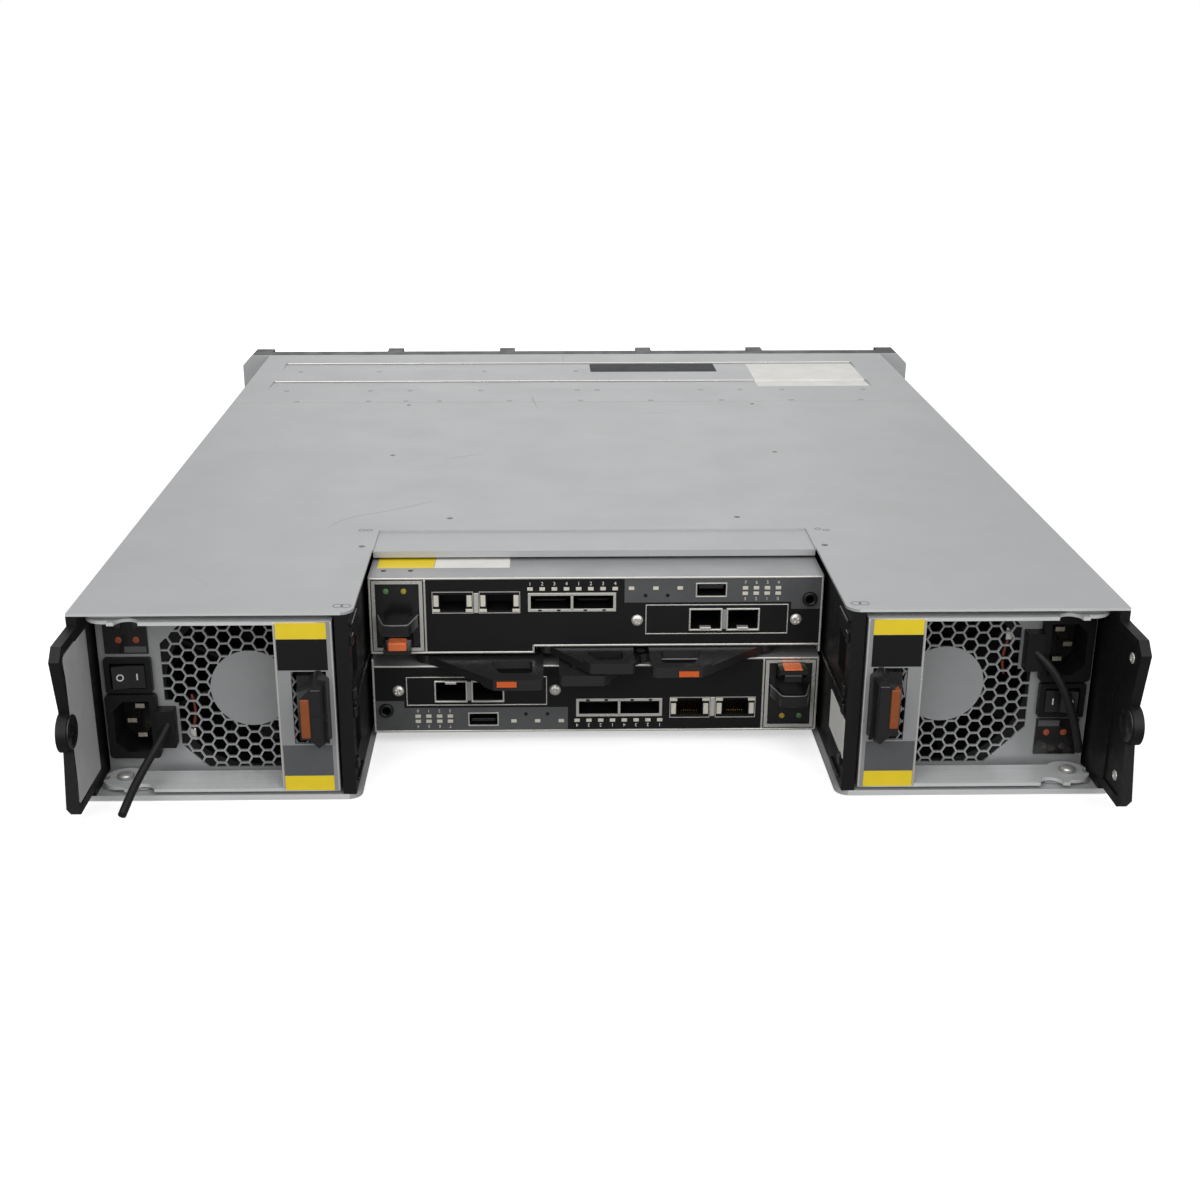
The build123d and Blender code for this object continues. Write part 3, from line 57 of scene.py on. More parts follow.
LOG = logging.getLogger("disk_shelf")
MM = 0.001
MID_Z = 43.25
REAR_Y = -262.5
UPWARD: Point = (0.0, 0.0, 1.0)
DOWNWARD: Point = (0.0, 0.0, -1.0)
REARWARD: Point = (0.0, -1.0, 0.0)
SIDES = (("left", -1.0), ("right", 1.0))
SQUARE_ON = 0.9  # a normal's share along an axis, from which a face counts as facing that way
SUNK = 0.02  # how far thin prints and labels reach into the sheet under them
HALF_TURN = (Matrix.Translation((0, 0, MID_Z * MM)) @ Matrix.Rotation(math.pi, 4, "Y")
             @ Matrix.Translation((0, 0, -MID_Z * MM)))


def linear(hex_colour: str) -> Tuple[float, float, float, float]:
    """Turn an sRGB hex colour into linear RGBA.

    Args:
        hex_colour: six hex digits.

    Returns:
        Linear red, green, blue and an alpha of one.
    """
    channels = [int(hex_colour[i:i + 2], 16) / 255 for i in (0, 2, 4)]
    lin = [c / 12.92 if c <= 0.04045 else ((c + 0.055) / 1.055) ** 2.4 for c in channels]
    return (lin[0], lin[1], lin[2], 1.0)


def per_metre(millimetres: float) -> float:
    """Texture scale that repeats about once every so many millimetres."""
    return 1.0 / (millimetres * MM)


def facing(direction: Point) -> Matrix:
    """Turn that stands a piece modelled upwards to face a direction."""
    return Vector(UPWARD).rotation_difference(Vector(direction)).to_matrix().to_4x4()


def near(middle: float, by: float) -> Pair:
    """Limits so far to either side of a middle."""
    return (middle - by, middle + by)


def grown(span: Pair, by: float) -> Pair:
    """Limits moved apart at both ends."""
    return (span[0] - by, span[1] + by)


def about(centre: Pair, size: Pair, by: float = 0.0) -> Tuple[Pair, Pair]:
    """Limits along X and Z of a rectangle about a centre, moved apart at both ends."""
    return tuple(grown((c - s / 2, c + s / 2), by) for c, s in zip(centre, size))


def put(tree: bpy.types.NodeTree, kind: str, settings: Optional[Dict[str, object]] = None,
        links: Optional[Dict[str, object]] = None) -> bpy.types.Node:
    """Add one node with its settings and incoming links.

    Args:
        tree: node tree that takes the node.
        kind: node type name.
        settings: attributes, or values of inputs, by name or by a number sign and index.
        links: output sockets that feed inputs, by name or by a number sign and index.

    Returns:
        The new node.
    """
    node = tree.nodes.new(kind)
    for name, value in (settings or {}).items():
        if name.startswith("#"):
            node.inputs[int(name[1:])].default_value = value
        elif name in node.inputs:
            node.inputs[name].default_value = value
        else:
            setattr(node, name, value)
    for name, socket in (links or {}).items():
        tree.links.new(socket, node.inputs[int(name[1:]) if name.startswith("#") else name])
    return node


@dataclass(frozen=True)
class Finish:
    """A surface finish with a mottled colour, uneven gloss and fine relief."""

    name: str  # common name of the material and how its surface was made
    colour: str  # main colour, sRGB hex
    second: str  # colour of the mottling
    metallic: float
    roughness: float
    uneven: float  # how far the roughness wanders from its mean
    mottle_mm: float  # size of the mottling
    grain_mm: float  # size of the fine relief
    grain: float  # height of the fine relief in millimetres
    stretch: Point = (1.0, 1.0, 1.0)  # scale of the pattern along X, Y and Z, for drawn or brushed marks
    coat: float = 0.0  # clear lacquer weight
    specular: float = 0.5  # specular level, lower for chalky blacks
    scuffs: str = ""  # colour of hairline scuffs, or nothing

    def material(self) -> bpy.types.Material:
        """Return this finish's material, made on first use."""
        return bpy.data.materials.get(self.name) or self._make()

    def _make(self) -> bpy.types.Material:
        """Build the node tree: two-scale mottling, uneven gloss and fine relief.

        Returns:
            The new material.
        """
        material = bpy.data.materials.new(self.name)
        material.use_nodes = True
        tree = material.node_tree
        shader = tree.nodes["Principled BSDF"]
        shader.inputs["Metallic"].default_value = self.metallic
        shader.inputs["Coat Weight"].default_value = self.coat
        shader.inputs["Specular IOR Level"].default_value = self.specular
        place = put(tree, "ShaderNodeTexCoord")
        where = put(tree, "ShaderNodeMapping", {"Scale": self.stretch}, {"Vector": place.outputs["Object"]})
        broad = put(tree, "ShaderNodeTexNoise",
                    {"Scale": per_metre(self.mottle_mm), "Detail": 6.0, "Roughness": 0.62},
                    {"Vector": where.outputs["Vector"]})
        patches = put(tree, "ShaderNodeMapRange", {"From Min": 0.32, "From Max": 0.68},
                      {"Value": broad.outputs["Fac"]})
        tint = put(tree, "ShaderNodeMix",
                   {"data_type": "RGBA", "#6": linear(self.colour), "#7": linear(self.second)},
                   {"Factor": patches.outputs["Result"]})
        colour = self._scuffed(tree, place, tint.outputs[2]) if self.scuffs else tint.outputs[2]
        gloss = put(tree, "ShaderNodeMapRange",
                    {"From Min": 0.3, "From Max": 0.7, "To Min": max(0.04, self.roughness - self.uneven),
                     "To Max": min(1.0, self.roughness + self.uneven)},
                    {"Value": broad.outputs["Fac"]})
        fine = put(tree, "ShaderNodeTexNoise", {"Scale": per_metre(self.grain_mm), "Detail": 3.0},
                   {"Vector": where.outputs["Vector"]})
        relief = put(tree, "ShaderNodeBump", {"Strength": 0.35, "Distance": self.grain * MM},
                     {"Height": fine.outputs["Fac"]})
        tree.links.new(colour, shader.inputs["Base Color"])
        tree.links.new(gloss.outputs["Result"], shader.inputs["Roughness"])
        tree.links.new(relief.outputs["Normal"], shader.inputs["Normal"])
        return material

    def _scuffed(self, tree: bpy.types.NodeTree, place: bpy.types.Node,
                 colour: bpy.types.NodeSocket) -> bpy.types.NodeSocket:
        """Lay thin wandering hairline scuffs over the colour.

        Args:
            tree: material's node tree.
            place: texture coordinate node.
            colour: socket with the clean colour.

        Returns:
            Socket with the scuffed colour.
        """
        spot = place.outputs["Object"]
        warp = put(tree, "ShaderNodeTexNoise", {"Scale": per_metre(90.0), "Detail": 2.0}, {"Vector": spot})
        bend = put(tree, "ShaderNodeVectorMath", {"operation": "MULTIPLY_ADD", "#1": (0.05, 0.05, 0.0)},
                   {"#0": warp.outputs["Color"], "#2": spot})
        cells = put(tree, "ShaderNodeTexVoronoi",
                    {"feature": "DISTANCE_TO_EDGE", "Scale": per_metre(150.0)},
                    {"Vector": bend.outputs["Vector"]})
        hair = put(tree, "ShaderNodeMapRange",
                   {"From Min": 0.0, "From Max": 0.006, "To Min": 1.0, "To Max": 0.0},
                   {"Value": cells.outputs["Distance"]})
        patch = put(tree, "ShaderNodeTexNoise", {"Scale": per_metre(70.0), "Detail": 3.0}, {"Vector": spot})
        where = put(tree, "ShaderNodeMapRange", {"From Min": 0.58, "From Max": 0.68},
                    {"Value": patch.outputs["Fac"]})
        weight = put(tree, "ShaderNodeMath", {"operation": "MULTIPLY"},
                     {"#0": hair.outputs["Result"], "#1": where.outputs["Result"]})
        faint = put(tree, "ShaderNodeMath", {"operation": "MULTIPLY", "#1": 0.4},
                    {"#0": weight.outputs["Value"]})
        mark = put(tree, "ShaderNodeMix", {"data_type": "RGBA", "#7": linear(self.scuffs)},
                   {"Factor": faint.outputs["Value"], "#6": colour})
        return mark.outputs[2]


class Finishes(Enum):
    """Every finish on the enclosure."""

    # Zinc-coated sheet: even, dull grey with a soft reflection and a few handling scuffs.
    ZINC_SHEET = Finish("galvanised_sheet_steel", "B4B5B6", "B0B1B2", 0.3, 0.52, 0.03, 45.0, 1.2, 0.015,
                        scuffs="6E6F70")
    # Pre-plated module sheet: the same metal without the handling marks.
    PLATED_SHEET = Finish("zinc_plated_sheet", "A2A3A4", "9B9C9D", 0.45, 0.46, 0.04, 25.0, 0.9, 0.012)
    # Bent handle arms and the sheets' rear edges: brushed along their length and painted brighter than the
    # sheet as a painted highlight, with a drawn-out reflection.
    STEEL_PAINTED_HIGHLIGHT = Finish("brushed_steel_painted_highlight", "DCDDDD", "D0D1D2", 0.25, 0.34, 0.05, 3.0, 0.5, 0.015,
                          (0.08, 1.0, 1.0))
    # Bright nickel on fasteners and socket shells: small hard glints. The same finish on strips along sheet
    # edges is a painted highlight, brighter than the sheet they edge.
    NICKEL_AND_EDGE_HIGHLIGHT = Finish("nickel_steel_and_edge_highlight", "DEDCD6", "D6D4CE", 0.6, 0.28, 0.04, 30.0, 0.8, 0.004)
    # Marks pressed into the sheet: painted a shade darker than the cover round them, as the shade in the
    # pressings.
    SHADED_PRESSED_MARK = Finish("pressed_mark_painted_shade", "8C8D8E", "828384", 0.35, 0.5, 0.04, 10.0, 0.9, 0.01)
    # Glass-filled nylon mouldings: satin black with a spark-eroded grain.
    BLACK_MOULDING = Finish("black_moulded_nylon", "151516", "101011", 0.0, 0.45, 0.08, 12.0, 0.5, 0.05,
                            specular=0.25)
    # Smooth mouldings that fingers polish: black with a crisp highlight.
    GLOSS_MOULDING = Finish("gloss_black_polycarbonate", "1A1A1B", "151516", 0.0, 0.24, 0.05, 9.0, 1.2,
                            0.004, specular=0.6)
    # Levers in charcoal nylon: duller and paler than the black pieces beside them.
    LEVER_NYLON = Finish("charcoal_moulded_nylon", "232324", "1D1D1E", 0.0, 0.3, 0.05, 8.0, 1.2, 0.004,
                         specular=0.55)
    # Powder-coated controller panel: near black, very fine texture.
    BLACK_PANEL = Finish("black_powder_coat", "171718", "131314", 0.0, 0.55, 0.06, 10.0, 0.35, 0.04,
                         specular=0.2)
    # Screen-printed grey area of the panel.
    GREY_PRINT = Finish("grey_screen_print", "565758", "505152", 0.0, 0.55, 0.05, 8.0, 0.35, 0.02,
                        specular=0.25)
    # White screen-printed digits.
    WHITE_PRINT = Finish("white_screen_print", "DCDCD9", "D2D2CF", 0.0, 0.55, 0.03, 3.0, 0.4, 0.01)
    # Solder-masked board: green with a slight gloss.
    BOARD_GREEN = Finish("green_circuit_board", "1E4A32", "173D29", 0.0, 0.35, 0.06, 4.0, 0.6, 0.03)
    # Gold flash on contacts.
    GOLD_CONTACT = Finish("gold_plated_contact", "D2A95A", "BE9445", 1.0, 0.25, 0.05, 2.0, 0.4, 0.01)
    # Nickel-plated brass pins of the inlet: warm, bright metal.
    PIN_METAL = Finish("nickel_plated_brass", "D6CFBF", "C6BEAC", 1.0, 0.28, 0.05, 3.0, 0.4, 0.01)
    # Orange touch points: acetal with a soft gloss.
    ORANGE = Finish("orange_acetal", "D0602C", "C85A28", 0.0, 0.4, 0.06, 5.0, 0.5, 0.02, specular=0.3)
    # Latch insert: the same orange painted darker and browner, as shade.
    SHADED_ORANGE_INSERT = Finish("orange_nylon_painted_shade", "8E4E2B", "844626", 0.0, 0.5, 0.06, 5.0, 0.5, 0.03,
                           specular=0.25)
    # Thumb pad of the battery's catch: clear bright orange with a crisp gloss.
    ORANGE_PAD = Finish("bright_orange_acetal", "F98148", "F4783F", 0.0, 0.28, 0.05, 5.0, 0.5, 0.01,
                        specular=0.6)
    # Rounded edges of the battery's grip: charcoal painted pale, a painted highlight line along the edge.
    GRIP_EDGE_HIGHLIGHT = Finish("charcoal_edge_painted_highlight", "6E6E6F", "626263", 0.0, 0.22, 0.05, 4.0, 0.8, 0.004,
                           specular=0.6)
    # Light pipes and lenses: small smooth windows.
    LENS_CLEAR = Finish("frosted_light_pipe", "DAD6C8", "CBC7BA", 0.0, 0.3, 0.05, 1.5, 0.3, 0.01)
    LENS_AMBER = Finish("amber_lens", "A5502F", "8E4226", 0.0, 0.22, 0.05, 1.5, 0.3, 0.01)
    # The dim lens also makes the covers' small dark discs: painted shade of holes.
    DIM_LENS_AND_HOLE_SHADE = Finish("smoked_lens_and_hole_shade", "3C3A38", "302E2C", 0.0, 0.2, 0.05, 1.5, 0.3, 0.01)
    LENS_GREEN = Finish("green_lens", "5E8F57", "4E7D49", 0.0, 0.25, 0.05, 1.5, 0.3, 0.01)
    LENS_YELLOW = Finish("yellow_lens", "B5A03C", "A08D31", 0.0, 0.25, 0.05, 1.5, 0.3, 0.01)
    # Smoked lamp window: dark, smooth and lacquered.
    SMOKED_WINDOW = Finish("smoked_lamp_window", "1C1918", "151312", 0.0, 0.16, 0.05, 4.0, 0.5, 0.01,
                           coat=0.3, specular=0.3)
    # Bare vinyl and paper label fields: flat colour, the vinyl with a little gloss.
    YELLOW_LABEL = Finish("yellow_vinyl_label", "EBD02A", "E4C824", 0.0, 0.4, 0.04, 12.0, 0.6, 0.01)
    # The black vinyl also makes small discs that stand for holes: painted shade.
    BLACK_LABEL_AND_HOLE_SHADE = Finish("black_vinyl_label_and_hole_shade", "141415", "101011", 0.0, 0.34, 0.05, 10.0, 0.6, 0.01,
                         specular=0.3)
    GREY_LABEL = Finish("grey_vinyl_label", "5A5B5D", "545557", 0.0, 0.36, 0.04, 10.0, 0.6, 0.01,
                        specular=0.3)
    DARK_LABEL = Finish("dark_grey_matt_label", "464749", "414244", 0.0, 0.7, 0.04, 10.0, 0.6, 0.01,
                        specular=0.1)
    WHITE_LABEL = Finish("white_paper_label", "E4E3DF", "DBDAD6", 0.0, 0.55, 0.04, 14.0, 0.4, 0.02)
    SILVER_LABEL = Finish("silver_foil_label", "BDBDBD", "B4B4B4", 0.1, 0.45, 0.05, 14.0, 0.5, 0.02)
    # Drive carriers: charcoal moulding, a shade paler than the trim.
    DARK_CARRIER = Finish("charcoal_moulded_carrier", "2A2B2D", "232426", 0.0, 0.45, 0.08, 10.0, 0.5, 0.05,
                          specular=0.3)
    # Fan plastic: dull black.
    FAN_NYLON = Finish("black_fan_nylon", "131314", "0E0E0F", 0.0, 0.55, 0.06, 10.0, 0.6, 0.04, specular=0.2)
    # Insulated leads behind the grille: red, painted dull and dark as the shade behind the grille.
    SHADED_WIRE_RED = Finish("red_wire_painted_shade", "6E3222", "5C281B", 0.0, 0.45, 0.05, 3.0, 0.4, 0.01)
    # Cord straps: nylon worn slightly grey.
    STRAP_NYLON = Finish("black_nylon_strap", "1D1D1E", "161617", 0.0, 0.46, 0.08, 6.0, 0.5, 0.03,
                         specular=0.25)

    @property
    def material(self) -> bpy.types.Material:
        """Material of this finish."""
        return self.value.material()


def set_mode(mode: str) -> None:
    """Switch the active object to object or edit mode."""
    bpy.ops.object.mode_set(mode=mode)


def deselect() -> None:
    """Leave edit mode and deselect everything."""
    if bpy.context.object and bpy.context.object.mode != "OBJECT":
        set_mode("OBJECT")
    bpy.ops.object.select_all(action="DESELECT")


def take(*objects: Obj) -> None:
    """Select only these objects and make the first one active.

    Args:
        objects: the objects.
    """
    deselect()
    for obj in objects:
        obj.select_set(True)
    bpy.context.view_layer.objects.active = objects[0]


def settle(obj: Obj) -> None:
    """Apply an object's place, turn and size to its mesh."""
    take(obj)
    bpy.ops.object.transform_apply(location=True, rotation=True, scale=True)


def modify(obj: Obj, kind: str, **settings: object) -> None:
    """Add a modifier and apply it.

    Args:
        obj: object to change.
        kind: modifier type.
        settings: the modifier's attributes.
    """
    take(obj)
    modifier = obj.modifiers.new(kind.lower(), kind)
    for name, value in settings.items():
        setattr(modifier, name, value)
    bpy.ops.object.modifier_apply(modifier=modifier.name)


def soften(obj: Obj, edge: float, steps: int, **settings: object) -> None:
    """Round off an object's sharp edges by a width in millimetres, where that isn't zero."""
    if edge:
        modify(obj, "BEVEL", width=edge * MM, segments=steps, limit_method="ANGLE", **settings)


def smooth(obj: Obj) -> None:
    """Shade smooth across edges flatter than 35 degrees."""
    take(obj)
    bpy.ops.object.shade_smooth_by_angle(angle=math.radians(35.0))


def cut(obj: Obj, tool: Obj) -> None:
    """Cut a tool's shape out of an object and delete the tool."""
    modify(obj, "BOOLEAN", operation="DIFFERENCE", object=tool, solver="EXACT")
    bpy.data.objects.remove(tool)


def block(name: str, x: Pair, y: Pair, z: Pair, edge: float = 0.2, steps: int = 2) -> Obj:
    """Box between limits in millimetres with softened edges.

    Args:
        name: piece name.
        x: limits along X.
        y: limits along Y.
        z: limits along Z.
        edge: width of the softened edges, or zero.
        steps: segments of the softened edges.

    Returns:
        The new object, its place in its mesh.
    """
    deselect()
    low, high = (Vector(corner) * MM for corner in zip(x, y, z))
    bpy.ops.mesh.primitive_cube_add(size=1.0, location=(low + high) / 2)
    obj = bpy.context.object
    obj.name = name
    obj.scale = high - low
    settle(obj)
    soften(obj, edge, steps)
    return obj


def disc(name: str, centre: Point, radius: float, depth: float, towards: Point = REARWARD,
         edge: float = 0.2, sides: int = 32) -> Obj:
    """Round disc about a centre in millimetres with softened edges.

    Args:
        name: piece name.
        centre: centre of the disc.
        radius: radius.
        depth: thickness along its axis.
        towards: direction that its face looks.
        edge: width of the softened edges, or zero.
        sides: sides of the circle.

    Returns:
        The new object, its place in its mesh.
    """
    deselect()
    bpy.ops.mesh.primitive_cylinder_add(vertices=sides, radius=radius * MM, depth=depth * MM)
    obj = bpy.context.object
    obj.name = name
    obj.data.transform(Matrix.Translation(Vector(centre) * MM) @ facing(towards))
    soften(obj, edge, 2, angle_limit=0.9)
    smooth(obj)
    return obj


def ring(name: str, centre: Point, radius: float, hole: float, depth: float,
         towards: Point = REARWARD) -> Obj:
    """Flat ring: a disc with its middle cut out.

    Args:
        name: piece name.
        centre: centre of the ring.
        radius: outer radius.
        hole: radius of the hole.
        depth: thickness along its axis.
        towards: direction that its face looks.

    Returns:
        The new object.
    """
    obj = disc(name, centre, radius, depth, towards, 0.0)
    cut(obj, disc(name + "_bore", centre, hole, depth * 3, towards, 0.0))
    smooth(obj)
    return obj


def rim_frame(name: str, x: Pair, z: Pair, y: Pair, rim: float, edge: float = 0.15) -> Obj:
    """Rectangular frame facing the rear, cut through from a block.

    Args:
        name: piece name.
        x: outer limits along X.
        z: outer limits along Z.
        y: limits along Y.
        rim: width of the frame.
        edge: width of the softened edges, or zero.

    Returns:
        The new object.
    """
    obj = block(name, x, y, z, 0.0)
    cut(obj, block(name + "_hole", grown(x, -rim), grown(y, 1), grown(z, -rim), 0.0))
    soften(obj, edge, 1)
    return obj


def dome(radius: float, height: float, cross: bool = False) -> Obj:
    """Domed head at the origin, facing up, with or without a cross recess.

    Args:
        radius: head radius.
        height: head height.
        cross: cut a cross recess.

    Returns:
        The new object.
    """
    deselect()
    bpy.ops.mesh.primitive_uv_sphere_add(segments=24, ring_count=12, radius=radius * MM)
    head = bpy.context.object
    set_mode("EDIT")
    bpy.ops.mesh.select_all(action="SELECT")
    bpy.ops.mesh.bisect(plane_co=(0, 0, 0), plane_no=(0, 0, 1), use_fill=True, clear_inner=True)
    set_mode("OBJECT")
    head.scale = (1.0, 1.0, height / radius)
    settle(head)
    for turn in (45.0, 135.0) if cross else ():
        deselect()
        bpy.ops.mesh.primitive_cube_add(size=1.0, location=(0, 0, height * MM),
                                        rotation=(0, 0, math.radians(turn)))
        tool = bpy.context.object
        tool.scale = (radius * 1.2 * MM, radius * 0.36 * MM, height * 1.5 * MM)
        settle(tool)
        cut(head, tool)
    smooth(head)
    return head


def sticker(name: str, x: Pair, runs: Sequence[Pair], thick: float = 0.1) -> Obj:
    """Thin sticker across X that follows the sheet under it, extruded run by run.

    Args:
        name: piece name.
        x: limits along X.
        runs: profile of the sheet under it, as points of Y and Z.
        thick: thickness, half of it above the sheet.

    Returns:
        The new object.
    """
    deselect()
    width = (x[1] - x[0]) * MM
    start = Vector(((x[0] + x[1]) / 2, *runs[0])) * MM
    bpy.ops.mesh.primitive_plane_add(size=width, location=start - Vector((0, width / 2, 0)))
    obj = bpy.context.object
    obj.name = name
    settle(obj)
    set_mode("EDIT")
    bpy.ops.mesh.select_mode(type="VERT")
    bpy.ops.mesh.select_all(action="DESELECT")
    set_mode("OBJECT")
    for vertex in obj.data.vertices:
        vertex.select = vertex.co.y < start.y - width / 2
    set_mode("EDIT")
    bpy.ops.mesh.delete(type="VERT")
    bpy.ops.mesh.select_all(action="SELECT")
    for here, there in zip(runs, runs[1:]):
        step = (0.0, (there[0] - here[0]) * MM, (there[1] - here[1]) * MM)
        bpy.ops.mesh.extrude_edges_move(TRANSFORM_OT_translate={"value": step})
    set_mode("OBJECT")
    modify(obj, "SOLIDIFY", thickness=thick * MM, offset=0.0)
    set_mode("EDIT")
    bpy.ops.mesh.select_all(action="SELECT")
    bpy.ops.mesh.remove_doubles(threshold=1e-6)
    bpy.ops.mesh.normals_make_consistent(inside=False)
    set_mode("OBJECT")
    return obj


def line(name: str, route: Sequence[Point], radius: float) -> Obj:
    """Round curve object along a smooth spline of the route's points.

    Args:
        name: piece name.
        route: points in millimetres.
        radius: radius of the curve.

    Returns:
        The new object, one open spline.
    """
    curve = bpy.data.curves.new(name, "CURVE")
    curve.dimensions = "3D"
    curve.bevel_depth = radius * MM
    curve.bevel_resolution = 4
    curve.use_fill_caps = True
    spline = curve.splines.new("NURBS")
    spline.points.add(len(route) - 1)
    for knot, point in zip(spline.points, route):
        knot.co = (*(Vector(point) * MM), 1.0)
    spline.order_u = 3
    spline.use_endpoint_u = True
    spline.resolution_u = 8
    obj = bpy.data.objects.new(name, curve)
    bpy.context.scene.collection.objects.link(obj)
    return obj


def wire(name: str, route: Sequence[Point], radius: float) -> Obj:
    """Fixed lead or bead along a smooth line, made a mesh.

    Args:
        name: piece name.
        route: points in millimetres.
        radius: its radius.

    Returns:
        The new object.
    """
    take(line(name, route, radius))
    bpy.ops.object.convert(target="MESH")
    return bpy.context.object


def printed(text: str, centre: Point, height: float) -> Obj:
    """Flat printed digits facing the rear.

    Args:
        text: digits to print.
        centre: centre of the print.
        height: letter height.

    Returns:
        The new mesh object.
    """
    deselect()
    bpy.ops.object.text_add(location=(0, 0, 0))
    data = bpy.context.object.data
    data.body = text
    data.size = height * 1.4 * MM
    data.align_x = "CENTER"
    data.align_y = "CENTER"
    data.extrude = 0.03 * MM
    bpy.ops.object.convert(target="MESH")
    obj = bpy.context.object
    obj.data.transform(Matrix.Translation(Vector(centre) * MM) @ Matrix.Rotation(math.pi / 2, 4, "X"))
    return obj


def join(name: str, parts: Sequence[Obj]) -> Obj:
    """Join several objects into one named piece.

    Args:
        name: piece name.
        parts: the objects.

    Returns:
        The first object, with the others in it.
    """
    take(*parts)
    if len(parts) > 1:
        bpy.ops.object.join()
    parts[0].name = name
    return parts[0]


def copied(obj: Obj, name: str, matrix: Matrix) -> Obj:
    """Copy a piece with its own mesh, moved by a matrix.

    Args:
        obj: the piece.
        name: the copy's name.
        matrix: where its mesh goes.

    Returns:
        The copy.
    """
    twin = obj.copy()
    twin.data = obj.data.copy()
    twin.parent = None
    twin.name = name
    twin.matrix_world = Matrix.Identity(4)
    twin.data.transform(matrix)
    bpy.context.scene.collection.objects.link(twin)
    return twin


def spread(name: str, first: Obj, places: Sequence[Point], towards: Point = UPWARD) -> Obj:
    """Copy a piece modelled at the origin, facing up, to several places and join the copies.

    Args:
        name: name of the joined piece.
        first: the piece at the origin, deleted afterwards.
        places: places in millimetres.
        towards: direction that the copies face.

    Returns:
        The joined piece.
    """
    turn = facing(towards)
    copies = [copied(first, f"{name}_{number}", Matrix.Translation(Vector(place) * MM) @ turn)
              for number, place in enumerate(places)]
    bpy.data.objects.remove(first)
    return join(name, copies)


@dataclass
class Dresser:
    """Gives CAD nodes their finishes and new pieces their body and finish."""

    nodes: Dict[str, Obj]  # CAD node objects by name

    def coat(self, node: str, finish: Finishes) -> None:
        """Put one finish on a whole CAD node.

        Args:
            node: CAD node.
            finish: its finish.
        """
        data = self.nodes[node].data
        data.materials.clear()
        data.materials.append(finish.material)

    def paint(self, node: str, finish: Finishes, chosen: Choice) -> None:
        """Put a further finish on some of a CAD node's faces.

        Args:
            node: CAD node that already has its main finish.
            finish: finish of the chosen faces.
            chosen: test of a face's corners, in millimetres, and its normal.
        """
        data = self.nodes[node].data
        data.materials.append(finish.material)
        for face in data.polygons:
            if chosen([data.vertices[i].co / MM for i in face.vertices], face.normal):
                face.material_index = len(data.materials) - 1

    @staticmethod
    def add(obj: Obj, body: str, finish: Finishes, slot: str) -> None:
        """Finish a new piece and let it ride on a body.

        Args:
            obj: the piece, in place.
            body: body that carries it.
            finish: its finish.
            slot: name of its finish slot; not used.
        """
        obj.data.materials.clear()
        obj.data.materials.append(finish.material)
        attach(obj, body)
        LOG.info("piece %s on %s", obj.name, body)


@dataclass
class Piece:
    """A detail modelled once on the left module or upper controller."""

    obj: Obj
    name: str  # name without the module's prefix
    finish: Finishes
    slot: str
    body: str = ""  # body suffix, empty for the module itself
    turned: Optional[Finishes] = None  # finish of its turned twin, where that differs



@dataclass
class TwinModules:
    """Two identical modules, the second one turned over."""

    dresser: Dresser
    first: str  # body name of the module that is modelled
    second: str  # body name of its turned twin
    pieces: List[Piece] = field(default_factory=list)

    def keep(self, obj: Obj, name: str, finish: Finishes, slot: str, body: str = "",
             turned: Optional[Finishes] = None) -> None:
        """Remember a detail for both modules, by the fields of a Piece."""
        self.pieces.append(Piece(obj, name, finish, slot, body, turned))

    def coat(self, finish: Finishes, *nodes: str) -> None:
        """Finish the same nodes of both modules.

        Args:
            finish: the finish.
            nodes: node names without the module's prefix.
        """
        for node in nodes:
            for module in (self.first, self.second):
                self.dresser.coat(f"{module}_{node}", finish)

    def paint(self, node: str, finish: Finishes, chosen: Choice) -> None:
        """Finish the same faces of both modules' node.

        Args:
            node: node name without the module's prefix.
            finish: finish of the chosen faces.
            chosen: test of a face on the first module.
        """

        def turned(corners: Sequence[Vector], normal: Vector) -> bool:
            """The same test, turned over with the second module."""
            back = [Vector((-c.x, c.y, 2 * MID_Z - c.z)) for c in corners]
            return chosen(back, Vector((-normal.x, normal.y, -normal.z)))

        self.dresser.paint(f"{self.first}_{node}", finish, chosen)
        self.dresser.paint(f"{self.second}_{node}", finish, turned)

    def place(self) -> None:
        """Put every remembered detail on both modules."""
        for piece in self.pieces:
            twin = copied(piece.obj, f"{self.second}_{piece.name}", HALF_TURN)
            piece.obj.name = f"{self.first}_{piece.name}"
            for obj, module, finish in ((piece.obj, self.first, piece.finish),
                                        (twin, self.second, piece.turned or piece.finish)):
                body = f"{module}_{piece.body}" if piece.body else module
                self.dresser.add(obj, body, finish, piece.slot)


